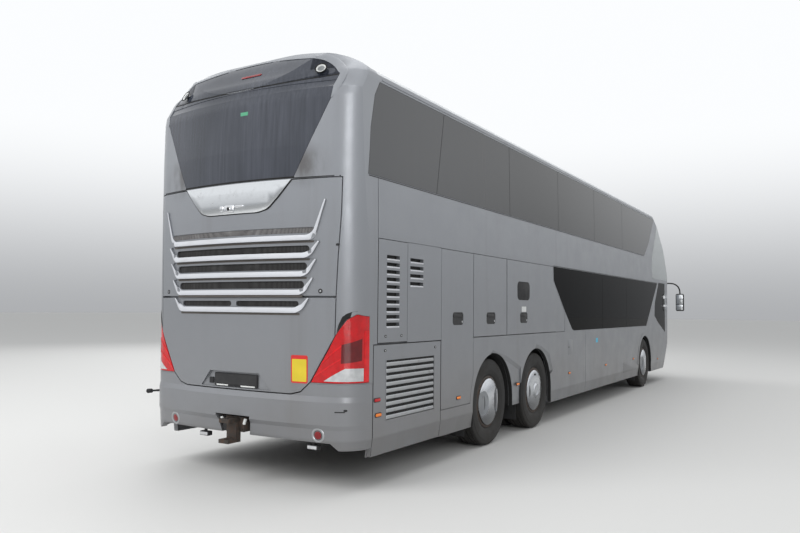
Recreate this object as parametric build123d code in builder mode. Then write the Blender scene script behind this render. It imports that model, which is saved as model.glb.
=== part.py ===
from build123d import *
import os

# Double-deck touring coach, right-hand drive, in millimetres.
# +X forward, +Y to the left, +Z up, on the ground at Z 0.
# Places along the coach are given as distances from its tail.

# Driving dimensions
body_length = 14000
body_width = 2550
body_height = 4000
tail_overhang = 3050
tag_spacing = 1500
wheelbase = 6400
tyre_radius = 510
mirror_reach = 120
tow_reach = 40

# Body form
half_width = body_width / 2
wall = 56
sill_height = 285
skirt_tuck = 22
skirt_crease_height = 450
waist_height = 2300
roof_lean = 22
cantrail_height = 3690
shoulder_radius = 270
spare = 5
tail_bow = 190
tail_corner_radius = 280
nose_bow = 400
nose_corner_radius = 600

# Panels and glass
panel_gap = 6
lid_gap = 9
seam = 8
panel_thickness = 40
lid_seat_gap = 5
flange = 34
glass_thickness = 8
glass_gap = 4
glass_bed = 0.3
hatch_height = 30
seat_gap = 0.3

# Heights of the decks and lines along the side
roof_split = 3745
band_top = 3680
band_bottom = 2795
deck_line = 2240
flap_line = 1282
service_foot = 555
upper_floor_top = 2270
upper_floor_thickness = 50
lower_floor_top = 400
lower_floor_thickness = 40
luggage_floor_top = 1180
luggage_floor_thickness = 40

# Stations along the coach, from its tail
rear_post_split = 550
bumper_split = 488
engine_panel_split = 1075
service_split = 1758
flap_split_rear = 2530
flap_split_mid = 3490
flap_split_front = 5690
middle_door_rear = 6080
middle_door_front = 7080
front_door_rear = 11980
front_door_front = 13030
nose_split = 13060

# Wheels
front_track_half = 1092
twin_outer_half = 1092
twin_pitch = 336
kingpin_half = 965
arch_radius = 572
arch_lip_width = 62
arch_lip_height = 7

tag_axle = tail_overhang
drive_axle = tail_overhang + tag_spacing
front_axle = drive_axle + wheelbase
hub_height = tyre_radius
length_over_all = body_length + mirror_reach + tow_reach


def along(distance):
    """Place along X of a distance from the tail."""
    return distance + tow_reach - length_over_all / 2


def write(piece, label):
    """Labels a finished piece and writes it to its own file."""
    piece.label = label
    export_step(piece, "parts/" + label + ".step")


# Outlines of the side, as distances from the tail and heights
def side_outline(points):
    return [(along(x), z) for x, z in points]


upper_band = [
    (386, band_bottom),
    (411, 3020),
    (427, 3230),
    (494, 3540),
    (577, band_top),
    (11985, band_top),
    (11417, 3097),
    (10973, band_bottom),
]
lower_band = [
    (5196, deck_line),
    (5205, 2035),
    (5690, 1600),
    (6050, 1310),
    (6150, 1288),
    (11060, 1288),
    (11390, 1560),
    (12190, deck_line),
]


# Plan sections of the body: height, set-back and bow of the tail, set-back of the nose
plan_sections = [
    (100, 170, tail_bow - 140, 800),
    (430, 118, tail_bow - 105, 430),
    (548, 92, tail_bow - 80, 326),
    (588, 62, tail_bow - 52, 291),
    (786, 52, tail_bow - 44, 116),
    (834, 80, tail_bow - 70, 74),
    (945, 70, tail_bow - 62, 47),
    (2450, 8, tail_bow - 6, 0),
    (3050, 3, tail_bow - 8, 430),
    (3560, 25, tail_bow - 35, 1120),
    (4060, 141, tail_bow + 261, 2300),
]


def plan_loft(inset):
    """Plan of the body, lofted through its sections up the height."""
    half = half_width - inset
    with BuildPart() as form:
        for height, set_back, bow, nose_back in plan_sections:
            tail_x = along(set_back + inset)
            nose_x = along(body_length - nose_back - inset)
            with BuildSketch(Plane.XY.offset(height)) as plan:
                with BuildLine():
                    tail = ThreePointArc((tail_x + bow, -half), (tail_x, 0), (tail_x + bow, half))
                    left = Line(tail @ 1, (nose_x - nose_bow, half))
                    nose = ThreePointArc(left @ 1, (nose_x, 0), (nose_x - nose_bow, -half))
                    Line(nose @ 1, tail @ 0)
                make_face()
                fillet(plan.vertices().group_by(Axis.X)[0], radius=tail_corner_radius - inset)
                fillet(plan.vertices().group_by(Axis.X)[-1], radius=nose_corner_radius - inset)
        loft(ruled=True)
    return form.part


def body_form(inset):
    """Outer form of the coach, its faces moved inwards by the inset."""
    half = half_width - inset
    top = body_height - inset
    edge = cantrail_height
    with BuildPart() as form:
        with BuildSketch(Plane.YZ.offset(along(0))) as section:
            with BuildLine():
                tuck = Line(
                    (half - skirt_tuck, sill_height),
                    (half, skirt_crease_height),
                    mode=Mode.PRIVATE,
                )
                side = Line(
                    (half, waist_height), (half - roof_lean, edge), mode=Mode.PRIVATE
                )
                Polyline(
                    (0, 100),
                    (half - skirt_tuck, 100),
                    tuck @ 0,
                    tuck @ (1 + spare / skirt_tuck),
                    side @ (-spare / roof_lean),
                    side @ 1,
                )
                shoulder = JernArc(side @ 1, side % 1, shoulder_radius - inset, 78)
                Line(shoulder @ 1, (0, top))
                Line((0, top), (0, 100))
            make_face()
            mirror(about=Plane.YZ)
        extrude(amount=body_length)
        with BuildSketch(Plane.XZ.offset(-half_width - 50)) as profile:
            with BuildLine():
                Polyline(
                    (along(inset - spare), 100),
                    (along(inset - spare), 3300),
                    (along(30 + inset), 3620),
                )
                brow = ThreePointArc(
                    (along(30 + inset), 3620),
                    (along(150 + inset), 3790 - inset * 0.4),
                    (along(290 + inset), 3950 - inset),
                )
                crown = ThreePointArc(
                    brow @ 1, (along(560 + inset), 3988 - inset), (along(950), top)
                )
                roof_line = Line(crown @ 1, (along(11300), top))
                scuttle = ThreePointArc(
                    roof_line @ 1,
                    (along(12150 - inset), 3915 - inset),
                    (along(12750 - inset), 3640 - inset),
                )
                Polyline(
                    scuttle @ 1,
                    (along(body_length + 60), 3000),
                    (along(body_length + 60), 100),
                    (along(inset - spare), 100),
                )
            make_face()
        extrude(amount=body_width + 100, mode=Mode.INTERSECT)
    plan = plan_loft(inset)
    with BuildPart() as both:
        add(form.part)
        add(plan, mode=Mode.INTERSECT)
    return both.part


def side_prism(points, side, shrink=0, inner=700, outer=1400):
    """Prism through one side, from an outline of stations and heights."""
    start = inner if side < 0 else -outer
    with BuildPart() as prism:
        with BuildSketch(Plane.XZ.offset(start)):
            with BuildLine():
                Polyline(*side_outline(points), close=True)
            make_face()
            if shrink:
                offset(amount=-shrink, kind=Kind.INTERSECTION)
        extrude(amount=outer - inner)
    return prism.part


def rounded_prism(x, z, length, height, radius, side, inner=700, outer=1400):
    """Prism through one side with rounded corners, about a station and a height."""
    start = inner if side < 0 else -outer
    with BuildPart() as prism:
        with BuildSketch(Plane.XZ.offset(start)):
            with Locations((along(x), z)):
                RectangleRounded(length, height, radius)
        extrude(amount=outer - inner)
    return prism.part


def end_prism(points, start, end, shrink=0):
    """Prism along the coach, from an outline of places across and heights."""
    with BuildPart() as prism:
        with BuildSketch(Plane.YZ.offset(along(start))):
            with BuildLine():
                Polyline(*points, close=True)
            make_face()
            if shrink:
                offset(amount=-shrink, kind=Kind.INTERSECTION)
        extrude(amount=end - start)
    return prism.part


def block(x0, x1, y0, y1, z0, z1):
    """Box between two stations, two places across and two heights."""
    with BuildPart() as piece:
        with Locations((along((x0 + x1) / 2), (y0 + y1) / 2, (z0 + z1) / 2)):
            Box(x1 - x0, abs(y1 - y0), z1 - z0)
    return piece.part


outer_form = body_form(0)
inner_form = body_form(wall)
glass_form = body_form(glass_thickness)
rebate_form = body_form(glass_thickness + glass_bed)
panel_form = body_form(panel_thickness)
seat_form = body_form(panel_thickness + lid_seat_gap)
stop_form = body_form(panel_thickness + seat_gap)

with BuildPart() as shell:
    add(outer_form)
    add(inner_form, mode=Mode.SUBTRACT)

with BuildPart() as glass_skin:
    add(outer_form)
    add(glass_form, mode=Mode.SUBTRACT)

with BuildPart() as rebate_skin:
    add(outer_form)
    add(rebate_form, mode=Mode.SUBTRACT)

with BuildPart() as panel_skin:
    add(outer_form)
    add(panel_form, mode=Mode.SUBTRACT)

with BuildPart() as lid_seat_skin:
    add(outer_form)
    add(seat_form, mode=Mode.SUBTRACT)

with BuildPart() as panel_seat_skin:
    add(outer_form)
    add(stop_form, mode=Mode.SUBTRACT)


def rectangle(x0, x1, z0, z1):
    return [(x0, z0), (x1, z0), (x1, z1), (x0, z1)]


# Panels that open, on each side: name, outline
rear_flap = rectangle(flap_split_rear, flap_split_mid, flap_line, deck_line)
front_flap = [
    (flap_split_mid, flap_line),
    (flap_split_front, flap_line),
    (flap_split_front - 15, 1592),
    (5190, 2030),
    (5181, deck_line),
    (flap_split_mid, deck_line),
]
right_panels = {
    "engine_panel_right": rectangle(rear_post_split, engine_panel_split, flap_line, deck_line),
    "radiator_door_right": rectangle(bumper_split, service_split, sill_height, flap_line),
    "service_door_right": [
        (service_split, service_foot),
        (flap_split_rear - 81, service_foot),
        (flap_split_rear - 46, 720),
        (flap_split_rear, 860),
        (flap_split_rear, deck_line),
        (service_split, deck_line),
    ],
    "luggage_flap_right_rear": rear_flap,
    "luggage_flap_right_front": front_flap,
}
left_panels = {
    "engine_door_left": rectangle(rear_post_split, service_split, flap_line, deck_line),
    "luggage_flap_left_rear": rear_flap,
    "luggage_flap_left_front": front_flap,
}
passenger_doors = {
    "middle_door": rectangle(middle_door_rear, middle_door_front, sill_height + 15, deck_line + 20),
    "front_door": rectangle(front_door_rear, front_door_front, sill_height + 15, deck_line + 20),
}

# Upper panes: the stations at their lower and upper edge
upper_pane_cuts = [(1655, 1835), (3600, 3600), (5450, 5450), (7300, 7300), (9150, 9150)]
lower_pane_cuts = [7720, 9380]


def arch_cut(station, shift, side):
    """Opening of one wheel arch through the side wall."""
    plane = Plane.XZ.offset(half_width - 200 if side < 0 else -half_width - 60)
    with BuildPart() as cut:
        with BuildSketch(plane):
            with Locations((along(station + shift), hub_height)):
                Circle(arch_radius)
            with Locations((along(station + shift), 150)):
                Rectangle(2 * arch_radius, 2 * (hub_height - 150))
        extrude(amount=260)
    return cut.part


def arch_lip(station, shift, side):
    """Raised flange round one wheel arch."""
    plane = Plane.XZ.offset(half_width - 20 if side < 0 else -half_width - arch_lip_height)
    with BuildPart() as lip:
        with BuildSketch(plane):
            with Locations((along(station + shift), hub_height)):
                Circle(arch_radius + arch_lip_width)
                Circle(arch_radius, mode=Mode.SUBTRACT)
            with Locations((along(station + shift), hub_height - 400)):
                Rectangle(1600, 800, mode=Mode.SUBTRACT)
        extrude(amount=20 + arch_lip_height)
    return lip.part


# Arches: axle station, shift of the opening from it, whether it has a raised lip
arches = [(tag_axle, 40, False), (drive_axle, -45, False), (front_axle, -50, True)]

# Sunken steps beside the rear arches: outline, lean forwards and drop of the shoulder
arch_steps = [
    ([(3000, 1075), (3060, 1120), (3479, 1026), (3950, 868), (3960, 285), (3300, 285)], 0, -50),
    (
        [(4440, 1060), (4509, 1137), (4700, 1105), (5023, 988), (5165, 745), (5060, 700), (4900, 700)],
        -30,
        -40,
    ),
]
step_depth = 18
twin_panel_foot = 400

# Slot grilles cut through the side: rear and front station, foot, top, number of slots
engine_slots = (700, 926, 1433, 2096, 10)
fixed_slots = (1120, 1376, 1822, 2093, 4)
side_slot_height = 40

# Louvre of the radiator door: rear and front station, foot, top, number of slats
radiator_louvre = (710, 1610, 590, 1130, 9)
slat_edge = 14
slat_rise = 32
slat_set_in = 1
slat_lead = 7
slat_bite = 6

# Sunken places in the panels: panel, station, height, length, height of the place, corner radius
panel_recesses = [
    ("service_door_right", 2145, 1500, 255, 140, 40),
    ("luggage_flap_right_rear", 3010, 1500, 255, 140, 40),
    ("luggage_flap_right_front", 4050, 1500, 255, 140, 40),
    ("luggage_flap_right_front", 4043, 1851, 422, 242, 70),
    ("luggage_flap_left_rear", 3010, 1500, 255, 140, 40),
    ("luggage_flap_left_front", 4050, 1500, 255, 140, 40),
]

# Seams drawn in the walls: rear and front station, foot, top
wall_seams = [
    (engine_panel_split, service_split, deck_line - seam / 2, deck_line + seam / 2),
    (rear_post_split - seam / 2, rear_post_split + seam / 2, deck_line, band_bottom - 5),
    (flap_split_front + 12, flap_split_front + 20, 1290, 1600),
    (6716, 6724, 290, 1280),
]


def wall_grooves(side):
    """Shallow grooves along the seams of one side."""
    with BuildPart() as grooves:
        add(rebate_skin.part)
        with BuildPart(mode=Mode.PRIVATE) as lines:
            for x0, x1, z0, z1 in wall_seams:
                add(side_prism(rectangle(x0, x1, z0, z1), side))
        add(lines.part, mode=Mode.INTERSECT)
    return grooves.part


def arch_step(points, lean, drop, side):
    """Oblique cut that sinks the side by an arch below a sloping shoulder."""
    slope = Vector(lean, -side * step_depth, drop)
    with BuildPart() as cut:
        with BuildSketch(Plane.XZ.offset(-side * half_width)):
            with BuildLine():
                Polyline(*side_outline(points), close=True)
            make_face()
        extrude(amount=slope.length, dir=slope.normalized())
    return cut.part


def slot_prisms(grille, side):
    """All slots of one slot grille in the side."""
    x0, x1, foot, top, count = grille
    pitch = (top - foot - side_slot_height) / (count - 1)
    with BuildPart() as slots:
        for n in range(count):
            z = foot + pitch * n
            add(side_prism(rectangle(x0, x1, z, z + side_slot_height), side))
    return slots.part


def side_wall(side):
    """One side wall between the rear post and the nose, with its openings."""
    panels = right_panels if side < 0 else left_panels
    with BuildPart() as piece:
        add(shell.part)
        with BuildPart(mode=Mode.PRIVATE) as span:
            add(block(rear_post_split, nose_split, 0, side * 1400, 200, roof_split))
            add(block(bumper_split, rear_post_split, 0, side * 1400, 200, flap_line - seat_gap))
        add(span.part, mode=Mode.INTERSECT)
        for station, shift, lipped in arches:
            if lipped:
                add(arch_lip(station, shift, side))
        for station, shift, lipped in arches:
            add(arch_cut(station, shift, side), mode=Mode.SUBTRACT)
        for points, lean, drop in arch_steps:
            add(arch_step(points, lean, drop, side), mode=Mode.SUBTRACT)
        add(side_prism(rectangle(0, body_length, 0, sill_height), side), mode=Mode.SUBTRACT)
        between_wheels = rectangle(tag_axle + 500, drive_axle - 500, 0, twin_panel_foot)
        add(side_prism(between_wheels, side), mode=Mode.SUBTRACT)
    wall_part = piece.part
    with BuildPart() as rebates:
        add(rebate_skin.part)
        with BuildPart(mode=Mode.PRIVATE) as bands:
            add(side_prism(upper_band, side))
            add(side_prism(lower_band, side))
        add(bands.part, mode=Mode.INTERSECT)
    with BuildPart() as seats:
        add(panel_seat_skin.part)
        with BuildPart(mode=Mode.PRIVATE) as outlines:
            for outline in panels.values():
                add(side_prism(outline, side))
        add(outlines.part, mode=Mode.INTERSECT)
    with BuildPart() as result:
        add(wall_part)
        add(rebates.part, mode=Mode.SUBTRACT)
        add(seats.part, mode=Mode.SUBTRACT)
        for outline in panels.values():
            add(side_prism(outline, side, shrink=flange), mode=Mode.SUBTRACT)
        for outline in upper_panes() + lower_panes(side):
            add(side_prism(outline, side, shrink=48), mode=Mode.SUBTRACT)
        add(wall_grooves(side), mode=Mode.SUBTRACT)
        if side < 0:
            add(slot_prisms(fixed_slots, side), mode=Mode.SUBTRACT)
        if side > 0:
            for outline in passenger_doors.values():
                add(side_prism(outline, side), mode=Mode.SUBTRACT)
    return result.part


def upper_panes():
    """Outlines of the upper side panes, from the tail forwards."""
    cuts = [(300, 300)] + upper_pane_cuts + [(12600, 12600)]
    panes = []
    for left, right in zip(cuts[:-1], cuts[1:]):
        if left == (300, 300):
            tail_edge = upper_band[:5]
        else:
            tail_edge = [(left[0], band_bottom), (left[1], band_top)]
        if right == (12600, 12600):
            nose_edge = upper_band[5:]
        else:
            nose_edge = [(right[1], band_top), (right[0], band_bottom)]
        panes.append(tail_edge + nose_edge)
    return panes


def lower_panes(side):
    """Outlines of the lower side panes, from the tail forwards."""
    if side > 0:
        first = middle_door_front + 40
        cuts = [9380]
        tail_edge = [(first, deck_line), (first, 1288)]
        last = [(11060, 1288), (11390, 1560), (11940, 2032), (11940, deck_line)]
    else:
        cuts = lower_pane_cuts
        tail_edge = lower_band[:5]
        last = lower_band[5:]
    panes = []
    for cut in cuts:
        panes.append(tail_edge + [(cut, 1288), (cut, deck_line)])
        tail_edge = [(cut, deck_line), (cut, 1288)]
    panes.append(tail_edge + last)
    return panes


def side_glass(side):
    """All bonded panes of one side, as separate solids."""
    with BuildPart() as piece:
        for outline in upper_panes() + lower_panes(side):
            with BuildPart(mode=Mode.PRIVATE) as pane:
                add(glass_skin.part)
                add(side_prism(outline, side, shrink=glass_gap), mode=Mode.INTERSECT)
            add(pane.part)
    return piece.part


def opening_panel(outline, side):
    """Panel that closes one opening, with a gap all round."""
    with BuildPart() as piece:
        add(panel_skin.part)
        add(side_prism(outline, side, shrink=panel_gap), mode=Mode.INTERSECT)
    return piece.part


def flap(name, outline, side):
    """Panel with the sunken places for its handle and its window."""
    with BuildPart() as places:
        add(rebate_skin.part)
        with BuildPart(mode=Mode.PRIVATE) as shapes:
            for panel, x, z, length, height, radius in panel_recesses:
                if panel == name:
                    add(rounded_prism(x, z, length, height, radius, side))
        add(shapes.part, mode=Mode.INTERSECT)
    with BuildPart() as piece:
        add(opening_panel(outline, side))
        add(places.part, mode=Mode.SUBTRACT)
    return piece.part


def engine_panel():
    """Side panel of the engine bay with its slot grille."""
    with BuildPart() as piece:
        add(opening_panel(right_panels["engine_panel_right"], -1))
        add(slot_prisms(engine_slots, -1), mode=Mode.SUBTRACT)
    return piece.part


def radiator_door():
    """Door with sloping louvre slats in one opening."""
    x0, x1, foot, top, count = radiator_louvre
    pitch = (top - foot) / count
    outer = -half_width + slat_set_in
    inner = -half_width + panel_thickness - slat_set_in
    with BuildPart() as piece:
        add(opening_panel(right_panels["radiator_door_right"], -1))
        add(side_prism(rectangle(x0, x1, foot, top), -1), mode=Mode.SUBTRACT)
        for n in range(count):
            z = foot + slat_lead + pitch * n
            slat = [
                (outer, z),
                (outer, z + slat_edge),
                (inner, z + slat_edge + slat_rise),
                (inner, z + slat_rise),
            ]
            add(end_prism(slat, x0 - slat_bite, x1 + slat_bite))
    return piece.part


def mirrored(points):
    """Closed outline made of a right half and its mirror image."""
    return points + [(-y, z) for y, z in reversed(points)]


# Rear face, as places across and heights
rear_window_outline = mirrored([(-690, 2765), (-1040, 3450), (-1115, 3640)])
brow_outline = mirrored([(-1120, 3652), (-1075, 3745), (-980, 3830), (-860, 3880), (-600, 3908)])
lid_split = 1698
lid_top = 2748
upper_lid_outline = mirrored([(-1106, lid_split), (-1122, 2060), (-1146, 2430), (-1152, lid_top)])
lower_lid_outline = [
    (-1106, lid_split),
    (-1098, 1353),
    (-1040, 1250),
    (-862, 950),
    (-760, 862),
    (-655, 836),
    (655, 836),
    (760, 862),
    (862, 950),
    (1040, 1250),
    (1098, 1353),
    (1106, lid_split),
]
tail_light_outline = [
    (-862, 950),
    (-1040, 1250),
    (-1105, 1380),
    (-1180, 1500),
    (-1240, 1550),
    (-1300, 1520),
    (-1300, 950),
]
plate_recess = mirrored([(-440, 856), (-309, 1003)])
plate_back = 104
bumper_top = 942
bumper_bottom = 375
bumper_foot = mirrored([(-1120, 300), (-1120, bumper_bottom), (-1050, 435)])
tow_cut_out = mirrored([(-160, 370), (-215, 610)])

# Swept grille bars: height at the middle, half length, reach and rise of the thin ends
grille_bars = [
    (2219, 900, 110, 330),
    (2062, 860, 90, 120),
    (1898, 830, 90, 125),
    (1736, 800, 90, 125),
    (1578, 765, 85, 105),
]
bar_height = 50
bar_reach = 10
bar_tip = 10
bar_shift = 18
bar_bend = 110

# Slots of the grille: place across, height of the middle, length, height
upper_slots = [(0, 2118, 1690, 66), (0, 1967, 1640, 66), (0, 1804, 1580, 66)]
lower_slots = [(-383, 1635, 706, 50), (383, 1635, 706, 50)]
blind_slot = (0, 2285, 1800, 54)


def swept_bar(level, half_length, reach, rise):
    """Prism of a level bar whose ends bend up to thin tips."""
    outline = [
        (-half_length, level - bar_height / 2),
        (-half_length - reach, level + rise),
        (-half_length - reach + bar_tip, level + rise + bar_tip / 2),
        (-half_length + bar_shift, level + bar_height / 2),
    ]
    with BuildPart() as prism:
        with BuildSketch(Plane.YZ.offset(along(-80))) as face:
            with BuildLine():
                Polyline(*mirrored(outline), close=True)
            make_face()
            heights = face.vertices().group_by(Axis.Y)
            fillet(heights[0] + heights[1], radius=bar_bend)
        extrude(amount=640)
    return prism.part


def bar_field(upper, lower):
    """Outline of the sunken field between two bars."""
    level, half_length, reach, rise = lower
    return mirrored(
        [
            (-half_length + bar_shift, level + bar_height / 2),
            (-half_length - reach + bar_shift, level + rise),
            (-upper[1] - bar_shift, upper[0] - bar_height / 2),
        ]
    )


def slot_prism(y, z, length, height):
    """Prism along the coach with round ends."""
    with BuildPart() as prism:
        with BuildSketch(Plane.YZ.offset(along(-80))):
            with Locations((y, z)):
                SlotOverall(length, height)
        extrude(amount=380)
    return prism.part


def rear_skin_piece(skin, outline, shrink=0, depth=560):
    """Part of a skin inside an outline seen from behind."""
    with BuildPart() as piece:
        add(skin)
        add(end_prism(outline, -80, depth, shrink=shrink), mode=Mode.INTERSECT)
    return piece.part


def rear_shell():
    with BuildPart() as piece:
        add(shell.part)
        with BuildPart(mode=Mode.PRIVATE) as span:
            add(block(-60, rear_post_split, -1400, 1400, flap_line, 4100))
            add(block(-60, bumper_split, -1400, 1400, bumper_top, flap_line))
        add(span.part, mode=Mode.INTERSECT)
    with BuildPart() as result:
        add(piece.part)
        for outline in (rear_window_outline, brow_outline):
            add(rear_skin_piece(rebate_skin.part, outline), mode=Mode.SUBTRACT)
        for side in (-1, 1):
            with BuildPart(mode=Mode.PRIVATE) as band:
                add(rebate_skin.part)
                add(side_prism(upper_band, side), mode=Mode.INTERSECT)
            add(band.part, mode=Mode.SUBTRACT)
            add(wall_grooves(side), mode=Mode.SUBTRACT)
        add(end_prism(rear_window_outline, -80, 350, shrink=50), mode=Mode.SUBTRACT)
        for outline in (upper_lid_outline, lower_lid_outline):
            add(rear_skin_piece(lid_seat_skin.part, outline), mode=Mode.SUBTRACT)
            add(end_prism(outline, -80, 300, shrink=flange), mode=Mode.SUBTRACT)
        with BuildPart(mode=Mode.PRIVATE) as stops:
            add(stop_form)
            add(inner_form, mode=Mode.SUBTRACT)
            with BuildPart(mode=Mode.PRIVATE) as pads:
                for y in (-420, 420):
                    for top in (lid_top - lid_gap - 3, lid_split - lid_gap - 2):
                        add(block(-60, 300, y - 30, y + 30, top - 36, top))
            add(pads.part, mode=Mode.INTERSECT)
        add(stops.part)
        for side in (-1, 1):
            lamp = [(-side * y, z) for y, z in tail_light_outline]
            lamp_seat = rear_skin_piece(panel_seat_skin.part, lamp, depth=430)
            add(lamp_seat, mode=Mode.SUBTRACT)
    return result.part


def engine_lid(outline, bars, fields, slots):
    """Rear lid with its proud grille bars, the sunken fields between them and the slots."""
    with BuildPart() as piece:
        add(rear_skin_piece(panel_skin.part, outline, shrink=lid_gap))
        for field in fields:
            add(rear_skin_piece(rebate_skin.part, field), mode=Mode.SUBTRACT)
        for bar in bars:
            with BuildPart(mode=Mode.PRIVATE) as proud:
                add(bar_skin.part)
                add(swept_bar(*bar), mode=Mode.INTERSECT)
            add(proud.part)
        for slot in slots:
            add(slot_prism(*slot), mode=Mode.SUBTRACT)
    return piece.part


def upper_lid():
    fields = [bar_field(a, b) for a, b in zip(grille_bars[:3], grille_bars[1:4])]
    with BuildPart() as piece:
        add(engine_lid(upper_lid_outline, grille_bars[:4], fields, upper_slots))
        with BuildPart(mode=Mode.PRIVATE) as blind:
            add(rebate_skin.part)
            add(slot_prism(*blind_slot), mode=Mode.INTERSECT)
        add(blind.part, mode=Mode.SUBTRACT)
    return piece.part


def lower_lid():
    with BuildPart() as piece:
        field = bar_field(grille_bars[3], grille_bars[4])
        add(engine_lid(lower_lid_outline, grille_bars[4:], [field], lower_slots))
        add(end_prism(plate_recess, -80, plate_back), mode=Mode.SUBTRACT)
    return piece.part


with BuildPart() as bar_skin:
    add(body_form(-bar_reach))
    add(glass_form, mode=Mode.SUBTRACT)


def tail_lights():
    with BuildPart() as piece:
        for side in (-1, 1):
            lamp = [(-side * y, z) for y, z in tail_light_outline]
            add(rear_skin_piece(panel_skin.part, lamp, shrink=glass_gap, depth=426))
    return piece.part


def rear_bumper():
    with BuildPart() as piece:
        add(shell.part)
        span = block(-60, bumper_split - 2, -1400, 1400, bumper_bottom, bumper_top - 2)
        add(span, mode=Mode.INTERSECT)
        add(end_prism(lower_lid_outline, -80, 300, shrink=-2), mode=Mode.SUBTRACT)
        add(end_prism(bumper_foot, -80, bumper_split), mode=Mode.SUBTRACT)
        add(end_prism(tow_cut_out, -80, 300), mode=Mode.SUBTRACT)
        for side in (-1, 1):
            add(block(112, 330 - seat_gap, side * 330, side * 400, 560, 610))
    return piece.part


# Front face, as places across and heights
upper_screen_side = [
    (11700, band_bottom),
    (11955, 3100),
    (12280, 3560),
    (12330, 3640),
    (14200, 3640),
    (14200, 2330),
    (11700, 2330),
]
lower_screen_outline = mirrored([(-1105, 1180), (-1150, 2262)])
driver_window = [
    (11880, 1500),
    (12250, 1345),
    (13000, 1110),
    (13000, 2262),
    (12330, 2262),
    (11915, 1780),
]
headlight_outline = [(-1230, 640), (-780, 600), (-740, 700), (-1000, 900), (-1240, 960)]
front_bumper_top = 560


def front_shell():
    with BuildPart() as piece:
        add(shell.part)
        add(block(nose_split, 14200, -1400, 1400, front_bumper_top, roof_split), mode=Mode.INTERSECT)
    return piece.part


def nose_openings():
    """Everything cut from the nose and the side walls behind it for the screens."""
    with BuildPart() as cuts:
        add(rebate_skin.part)
        with BuildPart(mode=Mode.PRIVATE) as outlines:
            add(side_prism(upper_screen_side, -1, inner=-1400))
            add(end_prism(lower_screen_outline, 13200, 14200))
        add(outlines.part, mode=Mode.INTERSECT)
    return cuts.part


def screen_through():
    """Through openings behind the two windscreens."""
    upper = [(12250, 2420), (14200, 2420), (14200, 3560), (12700, 3560), (12250, 2900)]
    with BuildPart() as cuts:
        add(side_prism(upper, -1, inner=-1130, outer=1130))
        add(end_prism(lower_screen_outline, 13200, 14200, shrink=50))
    return cuts.part


def windscreen_upper():
    with BuildPart() as piece:
        add(glass_skin.part)
        outline = side_prism(upper_screen_side, -1, shrink=glass_gap, inner=-1400)
        add(outline, mode=Mode.INTERSECT)
    return piece.part


def windscreen_lower():
    with BuildPart() as piece:
        add(glass_skin.part)
        outline = end_prism(lower_screen_outline, 13200, 14200, shrink=glass_gap)
        add(outline, mode=Mode.INTERSECT)
    return piece.part


def front_bumper():
    with BuildPart() as piece:
        add(shell.part)
        span = block(nose_split, 14200, -1400, 1400, sill_height, front_bumper_top - 2)
        add(span, mode=Mode.INTERSECT)
    return piece.part


def headlights():
    with BuildPart() as piece:
        for side in (-1, 1):
            lamp = [(-side * y, z) for y, z in headlight_outline]
            with BuildPart(mode=Mode.PRIVATE) as lens:
                add(panel_skin.part)
                add(end_prism(lamp, 13200, 14200, shrink=glass_gap), mode=Mode.INTERSECT)
            add(lens.part)
    return piece.part


def headlight_seats():
    with BuildPart() as piece:
        for side in (-1, 1):
            lamp = [(-side * y, z) for y, z in headlight_outline]
            with BuildPart(mode=Mode.PRIVATE) as seat:
                add(panel_seat_skin.part)
                add(end_prism(lamp, 13200, 14200), mode=Mode.INTERSECT)
            add(seat.part)
    return piece.part


def roof():
    with BuildPart() as piece:
        add(shell.part)
        add(block(rear_post_split, 14200, -1400, 1400, roof_split, 4200), mode=Mode.INTERSECT)
    with BuildPart() as result:
        add(piece.part)
        for x, half in ((4300, 330), (9200, 330)):
            add(block(x - half, x + half, -300, 300, 3990, 4000 + hatch_height))
    return result.part


# Floors inside the walls
inside_half = half_width - wall - seat_gap
deck_form = body_form(wall + seat_gap)


def upper_floor():
    top = upper_floor_top
    bottom = top - upper_floor_thickness
    with BuildPart() as piece:
        add(deck_form)
        add(block(260, 13450, -1400, 1400, bottom, top), mode=Mode.INTERSECT)
        for x0, x1, y0, y1 in stairwells:
            add(block(x0, x1, y0, y1, bottom - 5, top + 5), mode=Mode.SUBTRACT)
    return piece.part


# Stairwells through the upper floor: rear and front station, right and left edge
stairwells = [(7140, 8610, 380, 1020)]
housing_half = 560
housing_wall = 20


def lower_floor():
    top = lower_floor_top
    bottom = top - lower_floor_thickness
    with BuildPart() as piece:
        add(deck_form)
        add(block(5190, 13600, -1400, 1400, bottom, top), mode=Mode.INTERSECT)
        for side in (-1, 1):
            outer = side * 1400
            inner = side * (housing_half + 40)
            add(block(10230, 11640, inner, outer, bottom - 5, top + 5), mode=Mode.SUBTRACT)
    return piece.part


def luggage_floor():
    """Floor of the hold with the bulkheads behind and in front of it."""
    low = luggage_floor_top - luggage_floor_thickness
    edge = inside_half - 60
    with BuildPart() as piece:
        add(block(1790, 5190, -edge, edge, low, luggage_floor_top))
        add(block(1790, 1830, -edge, edge, luggage_floor_top, 2200))
        add(block(5190, 5230, -edge, edge, lower_floor_top, 2200))
    return piece.part


def wheel_housings():
    """Inner boxes over the front wheels and over the rear wheels."""
    with BuildPart() as piece:
        for side in (-1, 1):
            for x0, x1 in ((10232, 11638), (2440, 5180)):
                low = lower_floor_top
                top = luggage_floor_top - luggage_floor_thickness
                inner = side * housing_half
                edge = side * (inside_half - 60)
                skin = side * (housing_half + housing_wall)
                add(block(x0, x1, inner, skin, low, top))
                add(block(x0, x1, inner, edge, top - housing_wall, top))
                add(block(x0, x0 + housing_wall, inner, edge, low, top))
                add(block(x1 - housing_wall, x1, inner, edge, low, top))
        for station in (tag_axle, drive_axle):
            slot = block(station - 130, station + 130, -600, 600, 400, 660)
            add(slot, mode=Mode.SUBTRACT)
    return piece.part


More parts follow.
